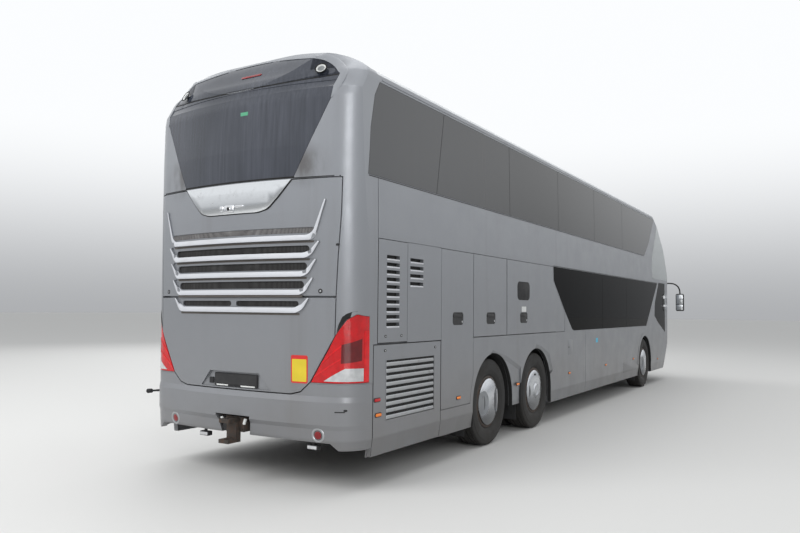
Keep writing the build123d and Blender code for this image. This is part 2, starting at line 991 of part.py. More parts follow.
def chassis_frame():
    floor_low = lower_floor_top - lower_floor_thickness - seat_gap
    luggage_low = luggage_floor_top - luggage_floor_thickness - seat_gap
    with BuildPart() as piece:
        for side in (-1, 1):
            add(block(330, 5185, side * 400, side * 470, 760, 920))
            add(block(5100, 5180, side * 400, side * 470, 230, 760))
            add(block(5180, 13100, side * 400, side * 470, 230, floor_low))
            for x in (1850, 2340, 3760, 5080):
                add(block(x, x + 90, side * 400, side * 470, 900, luggage_low))
        for x in (420, 2300, 3800, 5100):
            add(block(x, x + 80, -400, 400, 780, 880))
        for x in (6400, 7700, 9000, 10000, 11700, 12500):
            add(block(x, x + 80, -1120, 1120, 250, floor_low))
        for side in (-1, 1):
            saddle = block(
                front_axle - 46, front_axle + 46, side * 395, side * 475, 200, axle_low_top + seat_gap
            )
            add(saddle, mode=Mode.SUBTRACT)
        for side in (-1, 1):
            add(block(330, 420, side * 120, side * 180, 560, 780))
        add(block(330, 420, -470, 470, 540, 620))
    return piece.part


# Axles, knuckles and wheels
pin_radius = 22
spindle_radius = 40
running_gap = 0.05
boss_radius = 46
boss_height = 150
ear_thickness = 34
ear_gap = 2
drive_tube_radius = 75
drive_spindle_radius = 60
axle_low_top = 325
axle_low_bottom = 245


def wheel_plane(station, side):
    """Half plane through a wheel's axis: outboard distance across, radius up."""
    return Plane(
        origin=(along(station), 0, hub_height), x_dir=(0, side, 0), z_dir=(side, 0, 0)
    )


def turned(station, side, centre, profile):
    """Revolved piece of a wheel from a profile of outboard distances and radii."""
    with BuildPart() as piece:
        with BuildSketch(wheel_plane(station, side)):
            with BuildLine():
                Polyline(*[(centre + u, r) for u, r in profile], close=True)
            make_face()
        revolve(axis=Axis((along(station), 0, hub_height), (0, 1, 0)))
    return piece.part


tyre_outer = [
    (-101, 289.3),
    (-101, 306),
    (-126, 314),
    (-148, 385),
    (-148, 432),
    (-136, 486),
    (-108, tyre_radius - 3),
    (-60, tyre_radius),
]
tyre_inner = [(-86, 289.3), (-86, 318), (-126, 390), (-126, 428), (-112, 470), (-60, 486)]


def tyre_profile():
    right = [(-u, r) for u, r in reversed(tyre_outer)]
    inner_right = [(-u, r) for u, r in tyre_inner]
    inner_left = list(reversed(tyre_inner))
    return tyre_outer + right + inner_right + inner_left


rim_barrel = [
    (100, 262),
    (118, 276),
    (118, 304),
    (107, 304),
    (103, 289),
    (-103, 289),
    (-107, 304),
    (-118, 304),
    (-118, 276),
]
single_rim = (
    [
        (-60, spindle_radius + running_gap),
        (58, spindle_radius + running_gap),
        (58, 0),
        (80, 0),
        (80, 60),
        (76, 130),
        (90, 200),
    ]
    + rim_barrel
    + [(40, 270), (68, 240), (58, 150), (48, 110), (-60, 110)]
)
twin_hub = [
    (-430, drive_spindle_radius + running_gap),
    (-92, drive_spindle_radius + running_gap),
    (-92, 0),
    (-70, 0),
    (-70, 118),
    (-138, 130),
    (-138, 244),
    (-96, 270),
    (-96, 285),
    (-112, 285),
    (-150, 258),
    (-186, 258),
    (-224, 285),
    (-240, 285),
    (-240, 270),
    (-198, 244),
    (-198, 130),
    (-430, 110),
]
twin_barrel = [
    (-118, 272),
    (-118, 304),
    (-107, 304),
    (-103, 289),
    (103, 289),
    (107, 304),
    (118, 304),
    (118, 272),
]
twin_trim = [(70, 0), (84, 120), (96, 276), (88, 276), (76, 120), (62, 0)]


def twin_wheel_rim(side):
    """Both rims of a twin wheel on their common hub, with the outer trim."""
    with BuildPart() as piece:
        add(turned(drive_axle, side, twin_outer_half, twin_hub))
        add(turned(drive_axle, side, twin_outer_half, twin_barrel))
        add(turned(drive_axle, side, twin_outer_half - twin_pitch, twin_barrel))
        add(turned(drive_axle, side, twin_outer_half, twin_trim))
    return piece.part


def single_wheel_rim(station, side):
    return turned(station, side, front_track_half, single_rim)


def tyre(station, side, centre):
    return turned(station, side, centre, tyre_profile())


def knuckle(station, side):
    """Steering knuckle: king pin, two ears and the wheel spindle."""
    y_pin = side * kingpin_half
    low = hub_height - boss_height / 2
    high = hub_height + boss_height / 2
    ear_low = low - ear_gap - ear_thickness
    ear_high = high + ear_gap
    web_in = side * (kingpin_half + boss_radius + 6)
    web_out = side * (front_track_half - 66)
    with BuildPart() as piece:
        with Locations((along(station), y_pin, ear_low)):
            Cylinder(
                pin_radius,
                ear_high + ear_thickness - ear_low,
                align=(Align.CENTER, Align.CENTER, Align.MIN),
            )
        for z in (ear_low, ear_high):
            with Locations((along(station), y_pin, z)):
                Cylinder(
                    boss_radius - 6, ear_thickness, align=(Align.CENTER, Align.CENTER, Align.MIN)
                )
            add(block(station - 34, station + 34, y_pin, web_out, z, z + ear_thickness))
        top = ear_high + ear_thickness
        add(block(station - 40, station + 40, web_in, web_out, ear_low, top))
        spindle_length = front_track_half + 57 - abs(web_out)
        middle = side * (abs(web_out) + spindle_length / 2)
        with Locations(Location((along(station), middle, hub_height), (90, 0, 0))):
            Cylinder(spindle_radius, spindle_length)
    return piece.part


def axle_boss(station, side):
    """Bored boss that carries one king pin."""
    with BuildPart() as piece:
        with Locations((along(station), side * kingpin_half, hub_height)):
            Cylinder(boss_radius, boss_height)
            Cylinder(pin_radius + running_gap, boss_height, mode=Mode.SUBTRACT)
    return piece.part


def front_axle_beam():
    low = hub_height - 55
    high = hub_height + 55
    foot = 610
    inner = kingpin_half - boss_radius + 12
    with BuildPart() as piece:
        with BuildSketch(Plane.YZ.offset(along(front_axle) - 42)):
            with BuildLine():
                top = [(-inner, high), (-inner + 50, high), (-foot, axle_low_top)]
                other = [(-y, z) for y, z in reversed(top)]
                floor = [(inner, low), (inner - 60, low), (foot - 30, axle_low_bottom)]
                back = [(-y, z) for y, z in reversed(floor)]
                Polyline(*(top + other + floor + back), close=True)
            make_face()
        extrude(amount=84)
        for side in (-1, 1):
            add(axle_boss(front_axle, side))
            pin_hole(front_axle, side)
    return piece.part


def pin_hole(station, side):
    """Clears the king pin through whatever the boss was joined to."""
    with Locations((along(station), side * kingpin_half, hub_height)):
        Cylinder(pin_radius + running_gap, 400, mode=Mode.SUBTRACT)


def tag_axle_beam():
    inner = kingpin_half - boss_radius + 14
    with BuildPart() as piece:
        with Locations(Location((along(tag_axle), 0, hub_height), (90, 0, 0))):
            Cylinder(58, 2 * inner)
        for side in (-1, 1):
            add(axle_boss(tag_axle, side))
            pin_hole(tag_axle, side)
            add(block(tag_axle - 60, tag_axle + 60, side * 400, side * 470, 545, 759.7))
    return piece.part


def drive_axle_beam():
    with BuildPart() as piece:
        with Locations(Location((along(drive_axle), 0, hub_height), (90, 0, 0))):
            Cylinder(drive_tube_radius, 2 * 640)
            Cylinder(drive_spindle_radius, 2 * (twin_outer_half - 93))
        with Locations((along(drive_axle), 0, hub_height + 10)):
            Box(360, 300, 380)
        fillet(piece.edges().filter_by(Axis.X).filter_by(lambda e: e.length > 300), radius=60)
        for side in (-1, 1):
            add(block(drive_axle - 60, drive_axle + 60, side * 400, side * 470, 560, 759.7))
    return piece.part


def propeller_shaft():
    length = drive_axle - 180 - engine_front - 1
    with BuildPart() as piece:
        middle = engine_front + 0.5 + length / 2
        with Locations(Location((along(middle), 0, 655), (0, 90, 0))):
            Cylinder(40, length)
    return piece.part


engine_rear = 640
engine_front = 1760
engine_half = 380


# Rows of seats: station, then the deck's height
seat_profile = [
    (120, 0),
    (180, 0),
    (180, 330),
    (470, 350),
    (480, 450),
    (130, 430),
    (10, 1120),
    (-85, 1105),
    (25, 330),
    (120, 330),
]


def seat_row(station, floor, y0, y1):
    """One pair of seats between two places across."""
    low = min(y0, y1)
    with BuildPart() as piece:
        with BuildSketch(Plane.XZ.offset(-low)):
            with BuildLine():
                Polyline(*[(along(station + x), floor + z) for x, z in seat_profile], close=True)
            make_face()
        extrude(amount=-abs(y1 - y0))
    return piece.part


upper_rows = [1000 + 800 * n for n in range(13)]
lower_rows_right = [5500, 6300, 7100, 7900, 8700, 9500]
lower_rows_left = [8800, 9600]
seat_inner = 290
seat_outer = 1170


def upper_seats():
    floor = upper_floor_top + seat_gap
    with BuildPart() as piece:
        for x in upper_rows:
            for side in (-1, 1):
                over_stairs = side > 0 and 6500 < x < 8800
                if not over_stairs:
                    add(seat_row(x, floor, side * seat_inner, side * seat_outer))
    return piece.part


def lower_seats():
    floor = lower_floor_top + seat_gap
    with BuildPart() as piece:
        for x in lower_rows_right:
            add(seat_row(x, floor, -seat_inner, -seat_outer + 20))
        for x in lower_rows_left:
            add(seat_row(x, floor, seat_inner, seat_outer - 20))
    return piece.part


def driver_seat():
    floor = lower_floor_top + seat_gap
    with BuildPart() as piece:
        add(block(11750, 12450, -1000, -420, floor, floor + 200))
        add(seat_row(11900, floor + 200, -980, -480))
    return piece.part


def dashboard():
    floor = lower_floor_top + seat_gap
    profile = [(12950, floor), (13080, floor), (13250, 900), (13200, 1080), (12880, 1000), (12930, 760)]
    with BuildPart() as piece:
        with BuildSketch(Plane.XZ.offset(300)):
            with BuildLine():
                Polyline(*side_outline(profile), close=True)
            make_face()
        extrude(amount=640)
        wheel_tilt = Plane(origin=(along(12760), -730, 1150), x_dir=(0, 1, 0), z_dir=(-0.5, 0, 0.866))
        with BuildSketch(wheel_tilt):
            Circle(235)
            Circle(212, mode=Mode.SUBTRACT)
            Rectangle(430, 34)
            Circle(60)
        extrude(amount=24)
        with BuildSketch(wheel_tilt):
            Circle(32)
        extrude(amount=-320)
    return piece.part


def stairs():
    steps = 8
    foot_x = 7160
    going = 180
    rise = (upper_floor_top - upper_floor_thickness - 10 - lower_floor_top) / steps
    floor = lower_floor_top + seat_gap
    profile = [(foot_x, floor)]
    for n in range(steps):
        profile.append((foot_x + going * n, floor + rise * (n + 1)))
        profile.append((foot_x + going * (n + 1), floor + rise * (n + 1)))
    profile.append((foot_x + going * steps, floor + rise * (steps - 1)))
    profile.append((foot_x + going * 2, floor))
    with BuildPart() as piece:
        with BuildSketch(Plane.XZ.offset(-400)):
            with BuildLine():
                Polyline(*side_outline(profile), close=True)
            make_face()
        extrude(amount=-600)
    return piece.part


# Passenger doors: outline, window, arm pivot station
door_post_half = 1110
door_arm_length = 470
door_post_setback = 105
door_windows = {
    "middle_door": rectangle(middle_door_rear + 130, middle_door_front - 130, 1000, 2130),
    "front_door": rectangle(front_door_rear + 130, front_door_front - 130, 700, 2130),
}
door_arm_heights = (560, 2150)


def door_leaf(name):
    """One outward-swinging door leaf with its window opening and its brackets."""
    front = passenger_doors[name][1][0]
    end = front - door_post_setback - door_arm_length
    with BuildPart() as piece:
        add(opening_panel(passenger_doors[name], 1))
        with BuildPart(mode=Mode.PRIVATE) as rebate:
            add(rebate_skin.part)
            add(side_prism(door_windows[name], 1), mode=Mode.INTERSECT)
        add(rebate.part, mode=Mode.SUBTRACT)
        add(side_prism(door_windows[name], 1, shrink=30), mode=Mode.SUBTRACT)
        for z in door_arm_heights:
            with Locations((along(end), door_post_half, z + 30.3)):
                Cylinder(26, 24, align=(Align.CENTER, Align.CENTER, Align.MIN))
            add(block(end - 20, end + 20, door_post_half, 1240, z + 30.3, z + 54.3))
    return piece.part


def door_arm(name):
    """Upright post with two arms that carry a door leaf."""
    front = passenger_doors[name][1][0]
    post = front - door_post_setback
    end = post - door_arm_length
    bottom = lower_floor_top + seat_gap
    top = upper_floor_top - upper_floor_thickness - seat_gap
    with BuildPart() as piece:
        with Locations((along(post), door_post_half, bottom)):
            Cylinder(22, top - bottom, align=(Align.CENTER, Align.CENTER, Align.MIN))
        for z in door_arm_heights:
            add(block(end, post, door_post_half - 20, door_post_half + 20, z, z + 30))
            with Locations((along(end), door_post_half, z)):
                Cylinder(26, 30, align=(Align.CENTER, Align.CENTER, Align.MIN))
    return piece.part


def door_glass(name):
    with BuildPart() as piece:
        add(glass_skin.part)
        add(side_prism(door_windows[name], 1, shrink=glass_gap), mode=Mode.INTERSECT)
    return piece.part


def mirrors():
    with BuildPart() as piece:
        for side in (-1, 1):
            with BuildPart(mode=Mode.PRIVATE) as arm:
                with BuildLine():
                    FilletPolyline(
                        (along(13500), side * 1040, 2296),
                        (along(13940), side * 1330, 2296),
                        (along(14060), side * 1430, 2180),
                        (along(14060), side * 1430, 1900),
                        radius=60,
                    )
                with BuildSketch(Plane(origin=(along(13500), side * 1040, 2296), z_dir=(440, side * 290, 0))):
                    Circle(20)
                sweep()
            add(arm.part)
            with Locations((along(14060), side * 1430, 1830)):
                Box(120, 200, 440)
        add(outer_form, mode=Mode.SUBTRACT)
    return piece.part


# Jaw of the tow coupling: its heights, the thickness of its ears, its throat and its bore
tow_high = 580
tow_low = 360
ear = 35
tow_throat = 60
tow_bore = 20


def tow_coupling():
    with BuildPart() as piece:
        add(block(-tow_reach, 330 - seat_gap, -60, 60, tow_high - ear, tow_high))
        add(block(-tow_reach, 120, -60, 60, tow_low, tow_low + ear))
        add(block(tow_throat, 120, -60, 60, tow_low, tow_high))
        with Locations((along(0), 0, tow_low)):
            Cylinder(tow_bore, 2 * (tow_high - tow_low), mode=Mode.SUBTRACT)
    return piece.part


def side_wall_of(side):
    """Side wall with the cuts for the windscreen wrap and the driver's window."""
    with BuildPart() as piece:
        add(side_wall(side))
        add(nose_cuts, mode=Mode.SUBTRACT)
        if side < 0:
            with BuildPart(mode=Mode.PRIVATE) as seat:
                add(rebate_skin.part)
                add(side_prism(driver_window, side), mode=Mode.INTERSECT)
            add(seat.part, mode=Mode.SUBTRACT)
            add(side_prism(driver_window, side, shrink=48), mode=Mode.SUBTRACT)
    return piece.part


os.makedirs("parts", exist_ok=True)

nose_cuts = nose_openings()
through_cuts = screen_through()

write(side_wall_of(-1), "right_side_wall")
write(side_wall_of(1), "left_side_wall")

with BuildPart() as side_panes:
    add(side_glass(-1))
    with BuildPart(mode=Mode.PRIVATE) as driver_pane:
        add(glass_skin.part)
        add(side_prism(driver_window, -1, shrink=glass_gap), mode=Mode.INTERSECT)
    add(driver_pane.part)
    add(side_glass(1))
write(side_panes.part, "side_glass")

write(rear_shell(), "rear_shell")
with BuildPart() as rear_glass:
    add(rear_skin_piece(glass_skin.part, rear_window_outline, shrink=glass_gap))
    add(rear_skin_piece(glass_skin.part, brow_outline, shrink=glass_gap))
write(rear_glass.part, "rear_window")
write(upper_lid(), "engine_lid_upper")
write(lower_lid(), "engine_lid_lower")
write(tail_lights(), "tail_lights")
write(rear_bumper(), "rear_bumper")

with BuildPart() as front:
    add(front_shell())
    add(nose_cuts, mode=Mode.SUBTRACT)
    add(through_cuts, mode=Mode.SUBTRACT)
    add(headlight_seats(), mode=Mode.SUBTRACT)
write(front.part, "front_shell")
with BuildPart() as screens:
    add(windscreen_upper())
    add(windscreen_lower())
write(screens.part, "windscreens")
write(front_bumper(), "front_bumper")
write(headlights(), "headlights")
write(roof(), "roof")

write(upper_floor(), "upper_floor")
write(lower_floor(), "lower_floor")
write(luggage_floor(), "luggage_floor")
write(wheel_housings(), "wheel_housings")
write(chassis_frame(), "chassis_frame")
write(block(engine_rear, engine_front, -engine_half, engine_half, 560, 1500), "engine")
write(propeller_shaft(), "propeller_shaft")
write(upper_seats(), "upper_seats")
with BuildPart() as lower_deck_seats:
    add(lower_seats())
    add(driver_seat())
write(lower_deck_seats.part, "lower_seats")
write(dashboard(), "dashboard")
write(stairs(), "stairs")
write(mirrors(), "mirrors")
write(tow_coupling(), "tow_coupling")

write(engine_panel(), "engine_panel_right")
write(radiator_door(), "radiator_door_right")
for label in ("service_door_right", "luggage_flap_right_rear", "luggage_flap_right_front"):
    write(flap(label, right_panels[label], -1), label)
write(opening_panel(left_panels["engine_door_left"], 1), "engine_door_left")
for label in ("luggage_flap_left_rear", "luggage_flap_left_front"):
    write(flap(label, left_panels[label], 1), label)
for label in passenger_doors:
    write(door_leaf(label), label)
    write(door_arm(label), label + "_arm")
    write(door_glass(label), label + "_glass")

write(front_axle_beam(), "front_axle_beam")
write(tag_axle_beam(), "tag_axle_beam")
write(drive_axle_beam(), "drive_axle_beam")
for side, hand in ((1, "left"), (-1, "right")):
    for station, place in ((front_axle, "front"), (tag_axle, "tag")):
        write(knuckle(station, side), place + "_knuckle_" + hand)
        write(single_wheel_rim(station, side), place + "_rim_" + hand)
        write(tyre(station, side, front_track_half), place + "_tyre_" + hand)
    write(twin_wheel_rim(side), "drive_rim_" + hand)
    with BuildPart() as twins:
        add(tyre(drive_axle, side, twin_outer_half))
        add(tyre(drive_axle, side, twin_outer_half - twin_pitch))
    write(twins.part, "drive_tyres_" + hand)
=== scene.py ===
"""Looks of the double-deck touring coach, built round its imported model.

Metres, +X forward, +Y to the left, +Z up. Places along the coach are given from its tail.
"""

import math

import bmesh
import bpy
from mathutils import Matrix, Vector
from mathutils.bvhtree import BVHTree


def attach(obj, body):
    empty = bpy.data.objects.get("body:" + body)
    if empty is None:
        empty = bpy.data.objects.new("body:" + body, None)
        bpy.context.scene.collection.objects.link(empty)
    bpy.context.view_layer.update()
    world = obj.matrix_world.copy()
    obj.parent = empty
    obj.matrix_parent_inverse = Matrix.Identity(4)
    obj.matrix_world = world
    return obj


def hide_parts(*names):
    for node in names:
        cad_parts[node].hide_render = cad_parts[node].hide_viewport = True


bl_info = {
    "name": "Double-deck coach",
    "version": (1, 0, 0),
    "blender": (4, 5, 0),
    "location": "3D View > Sidebar > Coach",
    "description": "Finishes, fittings and stage of a double-deck touring coach",
    "category": "Object",
}

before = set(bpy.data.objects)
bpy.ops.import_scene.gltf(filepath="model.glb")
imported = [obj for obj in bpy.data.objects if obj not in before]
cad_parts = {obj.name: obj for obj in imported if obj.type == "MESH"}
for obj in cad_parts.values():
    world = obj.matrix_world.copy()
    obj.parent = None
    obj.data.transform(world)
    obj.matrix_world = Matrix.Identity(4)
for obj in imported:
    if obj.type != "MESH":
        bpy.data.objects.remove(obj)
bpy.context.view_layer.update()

# The tail along X, half the body's width, the axles from the tail, and the height of the hubs
TAIL_X = -7.04
SIDE_Y = 1.275
AXLES = {"tag": 3.05, "drive": 4.55, "front": 10.95}
HUB_Z = 0.51
SIDES = ((-1, "right"), (1, "left"))
# Vertices closer than this are one: in a finished piece, and in a mesh that came in patches
SAME = 1e-6
WELD = 1e-5

# Colours of what dulls the finishes, and of the painted reflections of sky and ground
ROAD_FILM = (0.13, 0.115, 0.10)
SPLASH = (0.12, 0.11, 0.10)
FOOT_DIRT = (0.085, 0.082, 0.080)
SMOKE = (0.075, 0.067, 0.062)
RAIN_FILM = (0.045, 0.045, 0.047)
# Pale tone laid on the side glass towards the tail: painted reflection of the sky
PAINTED_SKY_REFLECTION = (0.20, 0.205, 0.215)
DRIED_RUNS = (0.070, 0.077, 0.100)
BAR_DIRT = (0.33, 0.31, 0.29)
TYRE_DUST = (0.030, 0.027, 0.024)
TYRE_MUD = (0.036, 0.032, 0.027)
WATER_MARKS = (0.10, 0.075, 0.05)
# Dark tone of the polished trims' lower half: painted reflection of the ground
GROUND_REFLECTION_TONE = (0.07, 0.072, 0.075)
RUST = (0.16, 0.07, 0.035)


def along(distance):
    """Place along X of a distance from the tail."""
    return distance + TAIL_X


# Node materials

def add_node(tree, kind, **values):
    """Adds a shader node to a tree, with some of its settings."""
    made = tree.nodes.new("ShaderNode" + kind)
    for name, value in values.items():
        setattr(made, name, value)
    return made


class Finish:
    """A procedural material with a few short calls for its nodes."""

    def __init__(self, name, colour, rough=0.5, metal=0.0, **sockets):
        self.material = bpy.data.materials.new(name)
        self.material.use_nodes = True
        self.material.diffuse_color = (*colour, 1.0)
        self.tree = self.material.node_tree
        self.shader = self.tree.nodes["Principled BSDF"]
        self.shader.inputs["Base Color"].default_value = (*colour, 1.0)
        self.shader.inputs["Roughness"].default_value = rough
        self.shader.inputs["Metallic"].default_value = metal
        for socket, value in sockets.items():
            self.shader.inputs[socket.replace("_", " ")].default_value = value
        self.place = self.node("TexCoord").outputs["Object"]

    def node(self, kind, **values):
        return add_node(self.tree, kind, **values)

    def link(self, out, into):
        self.tree.links.new(out, into)

    def mapped(self, scale=(1, 1, 1), shift=(0, 0, 0)):
        """Object coordinates, scaled and then shifted."""
        mapping = self.node("Mapping")
        mapping.inputs["Scale"].default_value = scale
        mapping.inputs["Location"].default_value = shift
        self.link(self.place, mapping.inputs["Vector"])
        return mapping.outputs["Vector"]

    def noise(self, scale, detail=4.0, rough=0.55, stretch=(1, 1, 1)):
        """Noise; a small stretch along an axis draws it out there."""
        made = self.node("TexNoise")
        made.inputs["Scale"].default_value = scale
        made.inputs["Detail"].default_value = detail
        made.inputs["Roughness"].default_value = rough
        self.link(self.mapped(stretch), made.inputs["Vector"])
        return made.outputs["Fac"]

    def ramp(self, value, stops):
        """Grey ramp from two pairs of a position and a grey."""
        made = self.node("ValToRGB")
        for element, (position, grey) in zip(made.color_ramp.elements, stops):
            element.position = position
            element.color = (grey, grey, grey, 1.0)
        self.link(value, made.inputs["Fac"])
        return made.outputs["Color"]

    def axis(self, letter):
        """Object coordinate along one axis."""
        made = self.node("SeparateXYZ")
        self.link(self.place, made.inputs[0])
        return made.outputs[letter]

    def math(self, kind, first, second, clamp=False):
        """One calculation with two numbers or links."""
        made = self.node("Math", operation=kind, use_clamp=clamp)
        for socket, value in zip(made.inputs, (first, second)):
            if isinstance(value, (int, float)):
                socket.default_value = value
            else:
                self.link(value, socket)
        return made.outputs[0]

    def between(self, value, low, high):
        """0 at low and 1 at high, smooth in between."""
        made = self.node("MapRange", interpolation_type="SMOOTHSTEP")
        made.inputs["From Min"].default_value = low
        made.inputs["From Max"].default_value = high
        self.link(value, made.inputs["Value"])
        return made.outputs["Result"]

    def below(self, value, low, high):
        """1 at low and 0 at high, smooth in between."""
        return self.math("SUBTRACT", 1.0, self.between(value, low, high))

    def near(self, centre, reach):
        """1 at a place and 0 past a reach from it, given along each axis."""
        scale = tuple(1 / r for r in reach)
        mapping = self.mapped(scale, tuple(-c * s for c, s in zip(centre, scale)))
        length = self.node("VectorMath", operation="LENGTH")
        self.link(mapping, length.inputs[0])
        return self.below(length.outputs["Value"], 0.15, 1.0)

    def blend(self, share, first, second):
        """Mix of two colours or links by a linked share."""
        made = self.node("Mix", data_type="RGBA")
        colours = [s for s in made.inputs if s.type == "RGBA"]
        for socket, value in ((made.inputs[0], share), (colours[0], first), (colours[1], second)):
            if isinstance(value, tuple):
                socket.default_value = (*value, 1.0)
            else:
                self.link(value, socket)
        return [o for o in made.outputs if o.type == "RGBA"][0]

    def cover(self, tone, dirt, mask, share):
        """A tone with a share of another colour over it where a mask is."""
        return self.blend(self.math("MULTIPLY", mask, share), tone, dirt)

    def set(self, socket, value):
        self.link(value, self.shader.inputs[socket])

    def bump(self, height, strength, depth):
        made = self.node("Bump")
        made.inputs["Strength"].default_value = strength
        made.inputs["Distance"].default_value = depth
        self.link(height, made.inputs["Height"])
        self.link(made.outputs["Normal"], self.shader.inputs["Normal"])


def silver_paint(colour):
    """Satin metallic silver with rain streaks, road film low down and smoke stains at the tail."""
    f = Finish("silver_paint", colour, rough=0.4, metal=0.45, Coat_Weight=0.3, Coat_Roughness=0.2)
    height = f.axis("Z")
    flakes = f.between(f.noise(220, detail=2), 0.3, 0.7)
    streaks = f.between(f.noise(5, detail=5, stretch=(1, 1, 0.06)), 0.52, 0.8)
    patches = f.between(f.noise(0.9, detail=3), 0.25, 0.8)
    film = f.math("MULTIPLY", f.below(height, 0.35, 1.35), patches, clamp=True)
    smoke = f.between(f.noise(7, detail=6, stretch=(1, 1, 0.4)), 0.3, 0.7)
    tone = f.cover(colour, tuple(c * 1.5 for c in colour), flakes, 0.08)
    tone = f.cover(tone, ROAD_FILM, streaks, 0.16)
    tone = f.cover(tone, SPLASH, f.below(height, 0.4, 3.0), 0.22)
    tone = f.cover(tone, ROAD_FILM, film, 0.5)
    tone = f.cover(tone, FOOT_DIRT, f.below(height, 0.44, 0.47), 0.28)
    for side in (-1, 1):
        spot = f.near((along(0.08), side * 0.80, 2.86), (0.5, 0.30, 0.24))
        tone = f.cover(tone, SMOKE, f.math("MULTIPLY", spot, smoke), 0.75)
    f.set("Base Color", tone)
    f.set("Roughness", f.ramp(f.noise(3, detail=5), [(0.3, 0.34), (0.7, 0.48)]))
    f.set("Metallic", f.ramp(film, [(0.0, 0.45), (1.0, 0.2)]))
    f.bump(f.noise(1.6, detail=2), strength=0.12, depth=0.004)
    return f.material


def roof_paint(colour):
    """Pale roof, dusty along its flat top."""
    f = Finish("roof_paint", colour, rough=0.4, metal=0.15, Coat_Weight=0.3, Coat_Roughness=0.2)
    dust = f.between(f.noise(2.2, detail=6, stretch=(0.4, 1, 1)), 0.45, 0.85)
    f.set("Base Color", f.blend(dust, colour, tuple(c * 0.72 for c in colour)))
    f.set("Roughness", f.ramp(f.noise(7), [(0.3, 0.4), (0.7, 0.6)]))
    f.bump(f.noise(4, detail=3), strength=0.1, depth=0.003)
    return f.material


def dark_glass(name, colour, shine, coat):
    """Privacy glass, almost black, with a dry rain film, and a painted reflection of the sky that
    lightens it towards the tail.
    """
    f = Finish(
        name, colour, rough=0.04, Specular_IOR_Level=shine, Coat_Weight=coat, Coat_Roughness=0.03
    )
    streaks = f.between(f.noise(9, detail=6, stretch=(1, 1, 0.05)), 0.5, 0.85)
    tone = f.cover(colour, RAIN_FILM, streaks, 0.08)
    # Lighter towards the tail by the glass's shine: painted reflection of the sky
    tail = f.below(f.axis("X"), along(0.5), along(5.5))
    f.set("Base Color", f.cover(tone, PAINTED_SKY_REFLECTION, tail, shine))
    f.set("Roughness", f.ramp(f.noise(2.5, detail=5), [(0.35, 0.03), (0.8, 0.10)]))
    f.bump(f.noise(0.8, detail=1), strength=0.06, depth=0.01)
    return f.material


def rear_glass(name, colour, shine=0.5):
    """Rear window, dull with vertical runs of dried road film."""
    f = Finish(
        name, colour, rough=0.2, Specular_IOR_Level=shine, Coat_Weight=shine / 2,
        Coat_Roughness=0.12,
    )
    runs = f.noise(34, detail=8, rough=0.7, stretch=(1, 1, 0.025))
    broad = f.noise(1.6, detail=3, stretch=(1, 1, 0.5))
    film = f.math("MULTIPLY", f.between(runs, 0.2, 0.85), f.between(broad, 0.1, 0.9))
    f.set("Base Color", f.blend(film, colour, DRIED_RUNS))
    f.set("Roughness", f.ramp(film, [(0.0, 0.16), (1.0, 0.34)]))
    f.bump(runs, strength=0.05, depth=0.001)
    return f.material


def clear_glass(colour):
    """Clear glass with faint smears."""
    f = Finish("clear_glass", colour, rough=0.02, Transmission_Weight=1.0, IOR=1.45)
    f.set("Roughness", f.ramp(f.noise(4, detail=5), [(0.4, 0.01), (0.9, 0.07)]))
    return f.material


def moulded(name, colour, rough=0.55):
    """Moulded plastic or rubber with a fine grain and slight greying."""
    f = Finish(name, colour, rough=rough)
    pale = tuple(min(1.0, c * 1.6 + 0.012) for c in colour)
    greyed = f.between(f.noise(6, detail=5), 0.4, 0.8)
    f.set("Base Color", f.cover(colour, pale, greyed, 0.25))
    f.set("Roughness", f.ramp(f.noise(9), [(0.3, rough * 0.85), (0.7, min(1.0, rough * 1.2))]))
    f.bump(f.noise(420, detail=2), strength=0.18, depth=0.0006)
    return f.material


def bar_paint(colour):
    """Body silver made pale on the swept bars and sills as a painted highlight, dulled in streaks.
    """
    f = Finish("bar_paint", colour, rough=0.35, metal=0.35, Coat_Weight=0.3, Coat_Roughness=0.2)
    soot = f.between(f.noise(6, detail=6, stretch=(1, 0.4, 1)), 0.5, 0.85)
    f.set("Base Color", f.cover(colour, BAR_DIRT, soot, 0.35))
    f.set("Roughness", f.ramp(soot, [(0.0, 0.3), (1.0, 0.5)]))
    f.bump(f.noise(60, detail=3), strength=0.05, depth=0.001)
    return f.material


def perforated(colour):
    """Dark sheet with rows of small holes."""
    f = Finish("perforated_mesh", colour, rough=0.7, metal=0.4)
    holes = f.node("TexVoronoi", voronoi_dimensions="3D")
    holes.inputs["Scale"].default_value = 190
    holes.inputs["Randomness"].default_value = 0.0
    f.link(f.place, holes.inputs["Vector"])
    rim = f.between(holes.outputs["Distance"], 0.28, 0.36)
    dust = f.between(f.noise(9, detail=5), 0.4, 0.8)
    tone = f.cover(colour, tuple(c * 2.2 for c in colour), dust, 0.5)
    f.set("Base Color", f.blend(rim, (0.004, 0.004, 0.004), tone))
    f.bump(rim, strength=0.4, depth=0.001)
    return f.material


def tyre_rubber(colour):
    """Tyre rubber, greyed and browned by road dust."""
    f = Finish("tyre_rubber", colour, rough=0.82)
    dust = f.between(f.noise(7, detail=6), 0.4, 0.75)
    tone = f.cover(colour, TYRE_DUST, dust, 0.5)
    f.set("Base Color", f.cover(tone, TYRE_MUD, f.below(f.axis("Z"), 0.0, 0.5), 0.3))
    f.set("Roughness", f.ramp(dust, [(0.0, 0.7), (1.0, 0.92)]))
    f.bump(f.noise(160, detail=3), strength=0.25, depth=0.0012)
    return f.material


